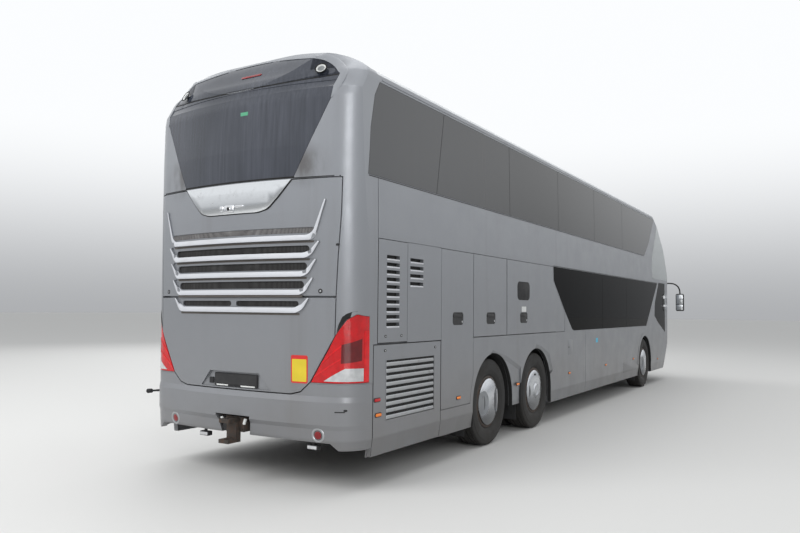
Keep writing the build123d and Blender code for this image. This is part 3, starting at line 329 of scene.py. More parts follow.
def polished(name, colour, rough=0.12, stained=0.35, grounded=0.0):
    """Polished metal with dried water marks; grounded darkens its lower half as a painted
    reflection of the ground.
    """
    f = Finish(name, colour, rough=rough, metal=1.0)
    marks = f.between(f.noise(14, detail=7), 0.5, 0.85)
    tone = f.cover(colour, WATER_MARKS, marks, stained)
    if grounded:
        # Darker towards the bottom: painted reflection of the dark ground
        tone = f.cover(tone, GROUND_REFLECTION_TONE, f.below(f.axis("Z"), 0.30, 0.62), grounded)
    f.set("Base Color", tone)
    f.set("Roughness", f.ramp(marks, [(0.0, rough), (1.0, min(1.0, rough + 0.3))]))
    f.bump(f.noise(35, detail=4), strength=0.06, depth=0.001)
    return f.material


def rusty(name, colour, rust=RUST, share=0.6):
    """Painted steel worn through to rust."""
    f = Finish(name, colour, rough=0.7, metal=0.3)
    worn = f.between(f.noise(18, detail=8, rough=0.7), 0.42, 0.62)
    f.set("Base Color", f.cover(colour, rust, worn, share))
    f.set("Metallic", f.ramp(worn, [(0.0, 0.4), (1.0, 0.0)]))
    f.set("Roughness", f.ramp(worn, [(0.0, 0.5), (1.0, 0.9)]))
    f.bump(f.noise(90, detail=5), strength=0.3, depth=0.0015)
    return f.material


def lamp_lens(name, colour, rib=0.0, glow=0.0):
    """Coloured lens with its moulded optics as fine ribs."""
    f = Finish(
        name, colour, rough=0.10, Coat_Weight=0.3, Coat_Roughness=0.04, Specular_IOR_Level=0.35
    )
    dark = tuple(c * 0.78 for c in colour)
    f.set("Base Color", f.blend(f.between(f.noise(14, detail=2), 0.3, 0.7), dark, colour))
    if glow:
        f.shader.inputs["Emission Color"].default_value = (*colour, 1.0)
        f.shader.inputs["Emission Strength"].default_value = glow
    if rib:
        wave = f.node("TexWave", wave_type="BANDS", bands_direction="Z")
        wave.inputs["Scale"].default_value = rib
        f.link(f.place, wave.inputs["Vector"])
        f.bump(wave.outputs["Fac"], strength=0.25, depth=0.002)
    return f.material


def seat_cloth(colour):
    """Woven moquette with small flecks."""
    f = Finish("seat_cloth", colour, rough=0.92, Sheen_Weight=0.4, Sheen_Roughness=0.5)
    flecks = f.node("TexVoronoi")
    flecks.inputs["Scale"].default_value = 55
    f.link(f.place, flecks.inputs["Vector"])
    woven = f.between(flecks.outputs["Distance"], 0.15, 0.4)
    f.set("Base Color", f.blend(woven, (0.09, 0.10, 0.14), colour))
    f.bump(f.noise(700, detail=2), strength=0.3, depth=0.0008)
    return f.material


# How each finish is made, from the colours of the sidebar
MAKERS = {
    "paint": lambda c: silver_paint(tuple(c.paint)),
    "roof": lambda c: roof_paint(tuple(c.roof)),
    "privacy": lambda c: dark_glass("privacy_glass", tuple(c.privacy_glass), shine=0.35, coat=0.1),
    # Lower deck glass: darker copy of the side glass with little shine, a painted dark reflection
    "low_privacy": lambda c: dark_glass(
        "low_privacy_glass", tuple(v * 0.3 for v in c.privacy_glass), shine=0.02, coat=0.0
    ),
    "rear_glass": lambda c: rear_glass("rear_glass", tuple(c.rear_glass)),
    "brow_glass": lambda c: rear_glass(
        "brow_glass", tuple(v * 0.35 for v in c.rear_glass), shine=0.12
    ),
    "clear": lambda c: clear_glass((0.92, 0.96, 0.95)),
    "black": lambda c: moulded("black_trim", (0.012, 0.012, 0.013)),
    "rubber": lambda c: moulded("seal_rubber", (0.016, 0.016, 0.017), rough=0.75),
    "seam": lambda c: moulded("panel_seam", (0.010, 0.010, 0.010), rough=0.85),
    "shade": lambda c: moulded("slot_shade", (0.006, 0.006, 0.006), rough=0.9),
    # Dark strip under each grille bar: painted shadow of the bar's overhang
    "bar_foot": lambda c: moulded("bar_foot_dirt", (0.085, 0.075, 0.068), rough=0.6),
    "pane": lambda c: moulded("grey_pane", (0.16, 0.17, 0.175), rough=0.25),
    "plate_back": lambda c: moulded("plate_back", (0.02, 0.02, 0.021), rough=0.6),
    "pale_plastic": lambda c: moulded("pale_plastic", (0.62, 0.63, 0.62), rough=0.45),
    "notice_red": lambda c: moulded("notice_red", (0.55, 0.02, 0.02), rough=0.4),
    "notice_yellow": lambda c: moulded("notice_yellow", (0.62, 0.48, 0.025), rough=0.4),
    "green": lambda c: moulded("green_label", (0.07, 0.30, 0.17), rough=0.4),
    "label_blue": lambda c: moulded("blue_label", (0.05, 0.42, 0.62), rough=0.4),
    "cabin": lambda c: moulded("cabin_trim", (0.09, 0.09, 0.095), rough=0.7),
    "floor": lambda c: moulded("deck_covering", (0.055, 0.057, 0.062), rough=0.8),
    "cloth": lambda c: seat_cloth((0.035, 0.045, 0.085)),
    "tyre": lambda c: tyre_rubber((0.013, 0.0125, 0.012)),
    "steel": lambda c: polished("polished_steel", (0.78, 0.79, 0.8)),
    "bright": lambda c: polished("bright_trim", (0.74, 0.76, 0.78), rough=0.14, stained=0.12),
    "slat": lambda c: polished("louvre_metal", (0.46, 0.47, 0.485), rough=0.36, stained=0.3),
    "chrome_body": lambda c: polished("camera_chrome", (0.75, 0.76, 0.78), rough=0.1, stained=0.2),
    "mirror_glass": lambda c: polished("mirror_glass", (0.86, 0.88, 0.9), rough=0.02, stained=0.05),
    "trim_metal": lambda c: polished(
        "trim_metal", (0.66, 0.68, 0.71), rough=0.2, stained=0.3, grounded=0.75
    ),
    "trim_dull": lambda c: polished(
        "trim_dull", (0.36, 0.375, 0.395), rough=0.34, stained=0.4, grounded=0.5
    ),
    # Paler copy of the body silver: painted highlight on the grille bars and slot sills
    "bar_paint": lambda c: bar_paint((0.60, 0.615, 0.65)),
    "mesh": lambda c: perforated((0.035, 0.034, 0.034)),
    "slot_grey": lambda c: perforated((0.16, 0.155, 0.155)),
    "frame": lambda c: rusty("frame_steel", (0.035, 0.034, 0.033), share=0.4),
    "rust": lambda c: rusty("rusty_steel", (0.050, 0.043, 0.038), rust=(0.085, 0.050, 0.034)),
    "red": lambda c: lamp_lens("red_lens", tuple(c.tail_lamp), rib=60, glow=0.08),
    "dark_red": lambda c: lamp_lens("dark_red_lens", (0.13, 0.002, 0.004), rib=60),
    "edge_red": lambda c: lamp_lens("edge_red_lens", (0.62, 0.006, 0.010), glow=0.10),
    "strip_red": lambda c: lamp_lens("strip_red_lens", (0.24, 0.010, 0.013), rib=60),
    "white_lens": lambda c: lamp_lens("clear_lens", (0.55, 0.56, 0.57), rib=60),
    "amber": lambda c: lamp_lens("amber_lens", (0.85, 0.22, 0.02), rib=120, glow=0.12),
}
FINISHES = {}


def finish(name):
    """One of the coach's finishes, made once."""
    if name not in FINISHES:
        FINISHES[name] = MAKERS[name](bpy.context.scene.coach_colours)
    return FINISHES[name]


def coat(node, name):
    """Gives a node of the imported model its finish."""
    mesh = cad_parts[node].data
    mesh.materials.clear()
    mesh.materials.append(finish(name))


# Mesh helpers

# The coach seen from a face: the ways across, up and out of it
FACES = {
    "rear": (Vector((0, 1, 0)), Vector((0, 0, 1)), Vector((-1, 0, 0))),
    "front": (Vector((0, 1, 0)), Vector((0, 0, 1)), Vector((1, 0, 0))),
    "right": (Vector((1, 0, 0)), Vector((0, 0, 1)), Vector((0, -1, 0))),
    "left": (Vector((1, 0, 0)), Vector((0, 0, 1)), Vector((0, 1, 0))),
}
# Where a ray looks for the skin when it falls into a gap: first at the place itself
PROBES = [(0, 0)] + [
    step for reach in (0.02, 0.05) for step in ((reach, 0), (-reach, 0), (0, reach), (0, -reach))
]
OUTSIDE = 9
# Search trees by the names they cover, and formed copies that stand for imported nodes
TREES = {}
SHAPED = {}


def tree_of(nodes):
    """Search tree over the surfaces of some nodes, or of what stands for them."""
    if nodes not in TREES:
        points, faces = [], []
        for name in nodes:
            mesh = SHAPED.get(name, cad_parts[name]).data
            start = len(points)
            points += [v.co.copy() for v in mesh.vertices]
            faces += [[start + i for i in p.vertices] for p in mesh.polygons]
        TREES[nodes] = BVHTree.FromPolygons(points, faces)
    return TREES[nodes]


def skin_at(nodes, face, u, v):
    """Where the outer skin stands, seen from one face, at a place on it."""
    across, up, out = FACES[face]
    tree = tree_of(nodes)
    for du, dv in PROBES:
        start = across * (u + du) + up * (v + dv) + out * OUTSIDE
        hit = tree.ray_cast(start, -out)
        if hit[0] is not None:
            return hit[0].dot(out)
    raise ValueError(f"no skin of {nodes} under {face} {u:.3f} {v:.3f}")


def weld(bm, reach):
    bmesh.ops.remove_doubles(bm, verts=bm.verts, dist=reach)


def verts_of(made):
    """Vertices among what an operation made."""
    return [g for g in made["geom"] if isinstance(g, bmesh.types.BMVert)]


def thicken(bm, way):
    """Raises a copy of all faces along a way, and gives its vertices."""
    top = verts_of(bmesh.ops.extrude_face_region(bm, geom=bm.faces[:]))
    bmesh.ops.translate(bm, verts=top, vec=way)
    return top


def cut_at(bm, place, normal, clear=False):
    """Cuts all faces along a plane, and drops what is beyond it when clear is set."""
    geom = bm.verts[:] + bm.edges[:] + bm.faces[:]
    return bmesh.ops.bisect_plane(
        bm, geom=geom, plane_co=place, plane_no=normal, clear_outer=clear
    )


def link_mesh(bm, name, material, body, smooth=35.0):
    """Turns a finished bmesh into a piece that rides on a body."""
    weld(bm, SAME)
    bmesh.ops.recalc_face_normals(bm, faces=bm.faces)
    mesh = bpy.data.meshes.new(name)
    bm.to_mesh(mesh)
    bm.free()
    for one in (material,) if isinstance(material, str) else material:
        mesh.materials.append(finish(one))
    mesh.shade_smooth()
    mesh.set_sharp_from_angle(angle=math.radians(smooth))
    piece = bpy.data.objects.new(name, mesh)
    bpy.context.scene.collection.objects.link(piece)
    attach(piece, body)
    return piece


def bevel(bm, edges, width, segments=2):
    bmesh.ops.bevel(
        bm, geom=edges, offset=width, segments=segments, profile=0.5, affect="EDGES", material=-1
    )


def round_corners(bm, verts, radius, segments):
    bmesh.ops.bevel(
        bm, geom=verts, offset=radius, segments=segments, profile=0.5, affect="VERTICES",
        material=-1,
    )


def add_box(bm, low, high, edge=0.0, segments=2, slot=0):
    """Box between two corners, its edges rounded, added to a bmesh."""
    low, high = Vector(low), Vector(high)
    size = high - low
    place = Matrix.Translation((low + high) / 2) @ Matrix.Diagonal((*size, 1.0))
    made = bmesh.ops.create_cube(bm, size=1.0, matrix=place)
    verts = made["verts"]
    for f in {f for v in verts for f in v.link_faces}:
        f.material_index = slot
    if edge:
        bevel(bm, list({e for v in verts for e in v.link_edges}), edge, segments)


def add_slab(
    bm, outline, face, nodes, out, depth, corner=0.0, edge=0.0, step=0.12, slot=0, rounded=None,
    bends=4, lift=None, level=None,
):
    """Slab with an outline on a face, laid on the curved skin there.

    out is how far it stands off the skin and depth how thick it is below that. corner rounds the
    corners named in rounded, or all of them, in some bends, and edge the rim. step is the longest
    way between two cuts. lift raises the front further by place, and level is one height at which
    the skin is read."""
    across, up, away = FACES[face]
    part = bmesh.new()
    verts = [part.verts.new(across * u + up * v) for u, v in outline]
    part.faces.new(verts)
    if corner:
        chosen = verts if rounded is None else [verts[n] for n in rounded]
        round_corners(part, chosen, corner, bends)
    us = [v.co.dot(across) for v in part.verts]
    vs = [v.co.dot(up) for v in part.verts]
    for values, axis in ((us, across), (vs, up)):
        low, high = min(values), max(values)
        count = max(1, int((high - low) / step))
        for n in range(1, count):
            cut_at(part, axis * (low + (high - low) * n / count), axis)
    top = thicken(part, away * depth)
    if edge:
        bevel(part, raised_edges(part, top), edge)
    for v in part.verts:
        u, w, rise = v.co.dot(across), v.co.dot(up), v.co.dot(away)
        ground = skin_at(nodes, face, u, w if level is None else level)
        proud = lift(u, w) if lift and rise > depth / 2 else 0
        v.co = across * u + up * w + away * (ground + out - depth + rise + proud)
    move_into(bm, part, slot)


def move_into(bm, part, slot=0):
    """Adds one bmesh's geometry to another, with a material slot."""
    for f in part.faces:
        f.material_index = slot
    mesh = bpy.data.meshes.new("part")
    bmesh.ops.recalc_face_normals(part, faces=part.faces)
    part.to_mesh(mesh)
    part.free()
    bm.from_mesh(mesh)
    bpy.data.meshes.remove(mesh)


def add_turned(bm, profile, centre, axis, steps, slot=0):
    """Spins a closed or open profile of distances along an axis and radii round it."""
    axis = Vector(axis).normalized()
    side = Vector((0, 0, 1)) if abs(axis.z) < 0.9 else Vector((1, 0, 0))
    centre = Vector(centre)
    part = bmesh.new()
    verts = [part.verts.new(centre + axis * a + side * r) for a, r in profile]
    edges = [part.edges.new(pair) for pair in zip(verts, verts[1:])]
    bmesh.ops.spin(
        part, geom=verts + edges, cent=centre, axis=axis, angle=math.tau, steps=steps,
        use_merge=True,
    )
    weld(part, SAME)
    move_into(bm, part, slot)


def rectangle(u0, u1, v0, v1):
    return [(u0, v0), (u1, v0), (u1, v1), (u0, v1)]


def mirrored(points):
    """Outline made of one half and its mirror image."""
    return points + [(-u, v) for u, v in reversed(points)]


# Rounding of the rims of turned fittings, and how far their foot is sunk in the skin
RIM = 0.004
SUNK = 0.004


def disc(radius, rise):
    """Profile of a flat disc with a rounded rim, standing on the skin."""
    soft = min(RIM, rise * 0.6)
    return [
        (-SUNK, 0), (-SUNK, radius), (rise - soft, radius), (rise, radius - soft),
        (rise + soft / 3, 0),
    ]


def ring(inner, outer, rise):
    """Profile of a flat ring with rounded rims, standing on the skin."""
    soft = min(RIM, rise * 0.6, (outer - inner) / 3)
    return [
        (-SUNK, inner), (-SUNK, outer), (rise - soft, outer), (rise, outer - soft),
        (rise, inner + soft), (rise - soft, inner), (-SUNK, inner),
    ]


def peg(radius, length):
    """Profile of a plain round peg."""
    return [(0, 0), (0, radius), (length, radius), (length, 0)]


def skin_point(nodes, face, u, v):
    """Place on the outer skin, and the way it faces there."""
    across, up, out = FACES[face]
    near = 0.012
    lean_u = skin_at(nodes, face, u + near, v) - skin_at(nodes, face, u - near, v)
    lean_v = skin_at(nodes, face, u, v + near) - skin_at(nodes, face, u, v - near)
    normal = (across * 2 * near + out * lean_u).cross(up * 2 * near + out * lean_v)
    if normal.dot(out) < 0:
        normal.negate()
    return across * u + up * v + out * skin_at(nodes, face, u, v), normal.normalized()


def remember(piece):
    """Lets later pieces be laid on a made piece."""
    points = [v.co.copy() for v in piece.data.vertices]
    TREES[(piece.name,)] = BVHTree.FromPolygons(points, [p.vertices for p in piece.data.polygons])
    return (piece.name,)


def raised_edges(part, top):
    """Edges round the top of an extruded outline."""
    top = set(top)
    rim = []
    for e in part.edges:
        sides = [f for f in e.link_faces if not top.issuperset(f.verts)]
        if sides and top.issuperset(e.verts):
            rim.append(e)
    return rim


def add_band(bm, rows, face, nodes, out, depth, edge=0.0, span=0.0):
    """Strip between two rows of places, laid on the curved skin of a face.

    span reads the skin that far above and below each place, which bridges a gap under it."""
    across, up, away = FACES[face]
    part = bmesh.new()
    first, second = ([part.verts.new(across * u + up * v) for u, v in row] for row in rows)
    chains = [part.edges.new(pair) for row in (first, second) for pair in zip(row, row[1:])]
    bmesh.ops.bridge_loops(part, edges=chains)
    top = thicken(part, away * depth)
    if edge:
        bevel(part, raised_edges(part, top), edge)
    for v in part.verts:
        u, w, rise = v.co.dot(across), v.co.dot(up), v.co.dot(away)
        ground = (skin_at(nodes, face, u, w - span) + skin_at(nodes, face, u, w + span)) / 2
        v.co = across * u + up * w + away * (ground + out - depth + rise)
    move_into(bm, part)


def curve_points(points, steps=5):
    """Points along a smooth line through some places."""
    line = []
    for n in range(len(points) - 1):
        a, b, c, d = (Vector(points[min(max(n + k, 0), len(points) - 1)]) for k in (-1, 0, 1, 2))
        for k in range(steps):
            t = k / steps
            line.append(0.5 * (2 * b + (c - a) * t + (2 * a - 5 * b + 4 * c - d) * t ** 2
                               + (3 * b - a - 3 * c + d) * t ** 3))
    return [tuple(p) for p in line] + [tuple(points[-1])]


def add_tube(bm, points, radius, sides):
    """Round rod along a smooth line of points."""
    line = bpy.data.curves.new("rod", "CURVE")
    line.dimensions = "3D"
    line.bevel_depth = radius
    line.bevel_resolution = sides // 4
    line.use_fill_caps = True
    spline = line.splines.new("POLY")
    smooth = curve_points(points)
    spline.points.add(len(smooth) - 1)
    for point, place in zip(spline.points, smooth):
        point.co = (*place, 1.0)
    holder = bpy.data.objects.new("rod", line)
    mesh = bpy.data.meshes.new_from_object(holder)
    part = bmesh.new()
    part.from_mesh(mesh)
    bpy.data.objects.remove(holder)
    bpy.data.curves.remove(line)
    bpy.data.meshes.remove(mesh)
    weld(part, WELD)
    move_into(bm, part)


def open_middle(part, width):
    """Leaves only a frame of an outline."""
    bmesh.ops.inset_region(part, faces=part.faces[:], thickness=width, use_even_offset=True)
    inner = [f for f in part.faces if all(len(e.link_faces) == 2 for e in f.edges)]
    bmesh.ops.delete(part, geom=inner, context="FACES")


def side_plate(bm, side, x, z, length, height, corner, out, depth, edge=0.0, hole=None, slot=0):
    """Rounded plate on one side of the coach, given by its middle.

    out is how far it stands off the panels, depth its thickness and hole the width of its frame."""
    part = bmesh.new()
    y = side * (SIDE_Y + out - depth)
    middle = along(x)
    outline = rectangle(middle - length / 2, middle + length / 2, z - height / 2, z + height / 2)
    part.faces.new([part.verts.new((u, y, v)) for u, v in outline])
    round_corners(part, part.verts[:], corner, 6)
    if hole:
        open_middle(part, hole)
    top = thicken(part, (0, side * depth, 0))
    if edge:
        bevel(part, raised_edges(part, top), edge)
    move_into(bm, part, slot)


def side_box(bm, side, x0, x1, z0, z1, out, depth, edge=0.0, segments=2):
    """Box on one side of the coach between two places along and two heights."""
    y = side * (SIDE_Y + out)
    low, high = sorted((y, y - side * depth))
    add_box(bm, (along(x0), low, z0), (along(x1), high, z1), edge, segments)


def skin_patch(name, node, cuts, side, lift, material):
    """Thin lens over part of a lamp, cut from a merged copy of its outer skin."""
    bm = bmesh.new()
    bm.from_mesh(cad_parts[node].data)
    weld(bm, WELD)
    for place, away in cuts:
        cut_at(bm, place, away, clear=True)
    hidden = []
    for f in bm.faces:
        outward = f.normal.x < 0.05 and f.normal.y * side > -0.05 and abs(f.normal.z) < 0.5
        if f.calc_center_median().y * side < 0 or not outward:
            hidden.append(f)
    bmesh.ops.delete(bm, geom=hidden, context="FACES")
    loose = [v for v in bm.verts if not v.link_faces]
    bmesh.ops.delete(bm, geom=loose, context="VERTS")
    bm.normal_update()
    rises = {v.co.copy().freeze(): v.normal * lift for v in bm.verts}
    for v in thicken(bm, (0, 0, 0)):
        v.co += rises[v.co.copy().freeze()]
    return link_mesh(bm, name, material, "coach")


# Settings in the sidebar

def colour_setting(name, description, default):
    return bpy.props.FloatVectorProperty(
        name=name, description=description, subtype="COLOR", size=3, min=0, max=1, default=default
    )


class CoachColours(bpy.types.PropertyGroup):
    paint: colour_setting("Paint", "Silver of the body", (0.262, 0.274, 0.296))
    roof: colour_setting("Roof", "Pale roof", (0.66, 0.68, 0.7))
    privacy_glass: colour_setting("Side glass", "Dark side glass", (0.006, 0.0065, 0.007))
    rear_glass: colour_setting("Rear glass", "Rear window", (0.020, 0.024, 0.034))
    tail_lamp: colour_setting("Tail lamps", "Red lenses", (0.50, 0.003, 0.006))


class CoachSizes(bpy.types.PropertyGroup):
    bar_wedge: bpy.props.FloatProperty(
        name="Bar wedge", description="How far the swept bars lean out at their foot",
        default=0.012, unit="LENGTH",
    )
    louvre_count: bpy.props.IntProperty(
        name="Louvres", description="Slats of the radiator door", default=9, min=3, max=16
    )
    camera_height: bpy.props.FloatProperty(
        name="Camera height", description="Height of the lens above the ground", default=1.6,
        unit="LENGTH",
    )


# Operators

NODE_FINISHES = {
    "paint": [
        "right_side_wall", "left_side_wall", "front_shell", "engine_lid_upper", "engine_lid_lower",
        "rear_bumper", "front_bumper", "engine_panel_right", "radiator_door_right",
        "service_door_right", "luggage_flap_right_rear", "luggage_flap_right_front",
        "engine_door_left", "luggage_flap_left_rear", "luggage_flap_left_front", "middle_door",
        "front_door",
    ],
    "privacy": ["side_glass", "middle_door_glass", "front_door_glass"],
    "clear": ["windscreens"],
    "red": ["tail_lights"],
    "white_lens": ["headlights"],
    "black": ["mirrors", "middle_door_arm", "front_door_arm"],
    "frame": [
        "chassis_frame", "engine", "propeller_shaft", "front_axle_beam", "tag_axle_beam",
        "drive_axle_beam", "front_knuckle_left", "front_knuckle_right", "tag_knuckle_left",
        "tag_knuckle_right", "wheel_housings",
    ],
    "rust": ["tow_coupling"],
    "steel": [
        "front_rim_left", "front_rim_right", "tag_rim_left", "tag_rim_right", "drive_rim_left",
        "drive_rim_right",
    ],
    "tyre": [
        "front_tyre_left", "front_tyre_right", "tag_tyre_left", "tag_tyre_right",
        "drive_tyres_left", "drive_tyres_right",
    ],
    "floor": ["upper_floor", "lower_floor", "luggage_floor", "stairs"],
    "cloth": ["upper_seats", "lower_seats"],
    "cabin": ["dashboard"],
}


# Height between the windows of the two decks
DECK_LINE = 2.5


class CoatNodes(bpy.types.Operator):
    """Gives every panel, pane and running part its finish"""

    bl_idname = "coach.coat_nodes"
    bl_label = "Finish the body"

    def execute(self, context):
        for name, nodes in NODE_FINISHES.items():
            for node in nodes:
                coat(node, name)
        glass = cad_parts["side_glass"].data
        # Windows under the deck line take the darker copy: painted dark reflection
        glass.materials.append(finish("low_privacy"))
        for face in glass.polygons:
            face.material_index = int(face.center.z < DECK_LINE)
        return {"FINISHED"}


# Roof corners: the share of their height over the cantrail that they lose
CORNER_DROP = 0.50
CANTRAIL = 3.745
# Lift of the tail's edge, and how far out it reaches
TAIL_LIFT = 0.035
LIFT_REACH = 1.15
# Crease over the rear window: its height, how far it is eased forward and over what height
CREASE_Z = 3.60
CREASE_EASE = 0.02
CREASE_REACH = 0.13
# Edge of the dark brow over the rear window: place across, height
BROW_EDGE = [
    (0.0, 3.952), (0.24, 3.943), (0.43, 3.924), (0.61, 3.900), (0.745, 3.880), (0.81, 3.867),
    (0.88, 3.844), (0.938, 3.809), (0.989, 3.768), (1.035, 3.718), (1.062, 3.692),
]


def smooth_share(value, low, high):
    share = min(1.0, max(0.0, (value - low) / (high - low)))
    return share * share * (3 - 2 * share)


def crowned(place):
    """Place of a point of the roof or tail, its corners drawn down and its crease eased."""
    x, y, z = place
    station = x - TAIL_X
    over = max(0.0, z - CANTRAIL)
    back = 0.55 + 0.45 * smooth_share(station, 0.25, 0.55)
    drop = over * CORNER_DROP * smooth_share(abs(y), 0.4, 1.15) * back
    middle = max(0.0, 1 - (y / LIFT_REACH) ** 4)
    lift = TAIL_LIFT * (1 - smooth_share(station, 0.35, 0.95)) * middle
    bulge = max(0.0, 1 - ((z - CREASE_Z) / CREASE_REACH) ** 2) ** 2
    ease = CREASE_EASE * bulge * (1 - smooth_share(station, 0.12, 0.35))
    return Vector((x + ease, y, z - drop + lift * smooth_share(z, CANTRAIL, 3.90)))


# Nodes of the coach's tail, and of the skin round the rear window
TAIL_SKIN = ("rear_shell", "rear_window", "roof")
WINDOW_SKIN = ("rear_shell", "rear_window", "engine_lid_upper")
# Least step along each axis, for the turn of a normal
STEPS = ((1, 0, 0), (0, 1, 0), (0, 0, 1))
TINY = 1e-3


def formed(source, cuts):
    """Merged and finely cut copy of a mesh in its crowned shape, and a layer with its normals."""
    bm = bmesh.new()
    bm.from_mesh(source)
    facing = bm.loops.layers.float_vector.new("facing")
    for face, polygon in zip(bm.faces, source.polygons):
        for loop, n in zip(face.loops, polygon.loop_indices):
            loop[facing] = source.corner_normals[n].vector
    weld(bm, WELD)
    for place, normal in cuts:
        cut_at(bm, place, normal)
    for v in bm.verts:
        steps = [(crowned(v.co + Vector(a) * TINY) - crowned(v.co)) * (1 / TINY) for a in STEPS]
        turn = Matrix(steps).inverted_safe()
        for loop in v.link_loops:
            loop[facing] = (turn @ loop[facing]).normalized()
    for v in bm.verts:
        v.co = crowned(v.co)
    return bm


class Crown(bpy.types.Operator):
    """Roof, rear shell and rear window with rounded roof corners and an eased crease"""

    bl_idname = "coach.crown"
    bl_label = "Roof and tail"

    def execute(self, context):
        cuts = [((0, 0.1 * n - 1.2, 0), (0, 1, 0)) for n in range(25)]
        cuts += [((0, 0, 3.45 + 0.04 * n), (0, 0, 1)) for n in range(14)]
        cuts += [((along(0.1 * n), 0, 0), (1, 0, 0)) for n in range(1, 11)]
        for node, name in (
            ("roof", "roof"), ("rear_shell", "paint"), ("rear_window", "rear_glass")
        ):
            bm = formed(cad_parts[node].data, cuts)
            piece = link_mesh(bm, node + "_formed", name, "coach")
            facing = piece.data.attributes["facing"]
            piece.data.normals_split_custom_set([n.vector.copy() for n in facing.data])
            piece.data.attributes.remove(piece.data.attributes["facing"])
            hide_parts(node)
            SHAPED[node] = piece

        edge = curve_points([(-y, z) for y, z in reversed(BROW_EDGE[1:])] + BROW_EDGE, 4)
        foot = [(y, 3.650 + 0.038 * (y / 1.06) ** 2) for y, z in edge]
        brow = [(y, max(z, low[1] + 0.003)) for (y, z), low in zip(edge, foot)]
        seam = [(y, z - 0.012) for y, z in foot]
        head = [(y, z - 0.0125) for y, z in foot]
        for name, material, rows, out, span in (
            ("brow", "brow_glass", (foot, brow), 0.0025, 0.0),
            ("brow_seam", "seam", (seam, foot), 0.0036, 0.024),
            ("window_head", "rear_glass", ([(y, 3.626) for y, z in foot], head), 0.0030, 0.024),
        ):
            bm = bmesh.new()
            add_band(bm, rows, "rear", TAIL_SKIN, out, 0.006, span=span)
            link_mesh(bm, name, material, "coach")

        side = [(1.060, 3.66), (1.052, 3.56), (1.040, 3.45)]
        inner = [(-y, z) for y, z in reversed(side)] + edge + side
        outer = []
        for n, (y, z) in enumerate(inner):
            before, after = inner[max(n - 1, 0)], inner[min(n + 1, len(inner) - 1)]
            run = Vector((after[0] - before[0], after[1] - before[1])).normalized()
            width = 0.030 + 0.038 * smooth_share(abs(y), 0.5, 0.95) if z > 3.5 else 0.010
            outer.append((y - run.y * width, z + run.x * width))
        bm = bmesh.new()
        add_band(bm, (inner, outer), "rear", TAIL_SKIN, 0.0055, 0.010, edge=0.0015)
        link_mesh(bm, "brow_frame", "paint", "coach")
        return {"FINISHED"}


class RearTrim(bpy.types.Operator):
    """Bright panel under the rear window with its camera, brow lamps and brake strip"""

    bl_idname = "coach.rear_trim"
    bl_label = "Rear trim"

    def execute(self, context):
        lid = ("engine_lid_upper",)
        panel = mirrored([(0.310, 2.466), (0.420, 2.494), (0.530, 2.596), (0.668, 2.746)])
        bm = bmesh.new()
        add_slab(
            bm, mirrored([(0.312, 2.458), (0.428, 2.487), (0.540, 2.592), (0.682, 2.746)]), "rear",
            lid, out=0.003, depth=0.006, corner=0.03, rounded=(0, 1, 6, 7), step=0.08,
        )
        link_mesh(bm, "bright_panel_edge", "seam", "engine_lid_upper")
        bm = bmesh.new()
        add_slab(
            bm, panel, "rear", lid, out=0.008, depth=0.010, corner=0.04, edge=0.003, step=0.08,
            rounded=(0, 1, 6, 7), bends=6, lift=lambda u, v: 0.006 * (1 - ((v - 2.60) / 0.15) ** 2),
        )
        link_mesh(bm, "bright_panel", "bright", "engine_lid_upper")
        bm = bmesh.new()
        add_slab(
            bm, rectangle(-0.695, 0.695, 2.7535, 2.770), "rear", WINDOW_SKIN, out=0.002,
            depth=0.004, step=0.06,
        )
        for side in (-1, 1):
            u0, u1 = sorted((side * 0.68, side * 1.135))
            add_slab(
                bm, rectangle(u0, u1, 2.7505, 2.7585), "rear", WINDOW_SKIN, out=0.0015, depth=0.004,
                step=0.06,
            )
        link_mesh(bm, "window_foot_seam", "seam", "coach")

        bm = bmesh.new()
        x = -skin_at(lid, "rear", 0.03, 2.50)
        eye, tilt = (x - 0.0275, 0.03, 2.512), (-1, 0, -0.1)
        add_box(bm, (x - 0.028, -0.030, 2.478), (x + 0.004, 0.090, 2.552), 0.014, 4)
        add_turned(bm, disc(0.017, 0.005), eye, tilt, 24, slot=1)
        add_turned(bm, ring(0.017, 0.025, 0.006), eye, tilt, 24)
        add_box(bm, (x - 0.024, -0.145, 2.520), (x + 0.004, -0.045, 2.545), 0.010, 3)
        add_box(bm, (x - 0.026, 0.100, 2.492), (x + 0.004, 0.150, 2.548), 0.012, 3)
        link_mesh(bm, "rear_camera", ("chrome_body", "shade"), "engine_lid_upper")

        bm = bmesh.new()
        for y in (-0.880, 0.840):
            spot, normal = skin_point(TAIL_SKIN, "rear", y, 3.740)
            add_turned(bm, ring(0.050, 0.064, 0.005), spot, normal, 40, slot=2)
            add_turned(bm, ring(0.037, 0.052, 0.008), spot, normal, 40)
            add_turned(bm, disc(0.038, 0.006), spot, normal, 32, slot=1)
        link_mesh(bm, "marker_lamps", ("pale_plastic", "pane", "shade"), "coach")

        bm = bmesh.new()
        add_slab(
            bm, rectangle(-0.190, 0.065, 3.794, 3.817), "rear", ("rear_window", "rear_shell"),
            out=0.006, depth=0.008, corner=0.010, edge=0.0015, step=0.06,
        )
        link_mesh(bm, "high_brake_lamp", "strip_red", "coach")
        bm = bmesh.new()
        add_slab(
            bm, rectangle(-0.155, -0.065, 3.385, 3.418), "rear", ("rear_window",), out=0.0015,
            depth=0.003, corner=0.004,
        )
        link_mesh(bm, "window_label", "green", "coach")
        return {"FINISHED"}


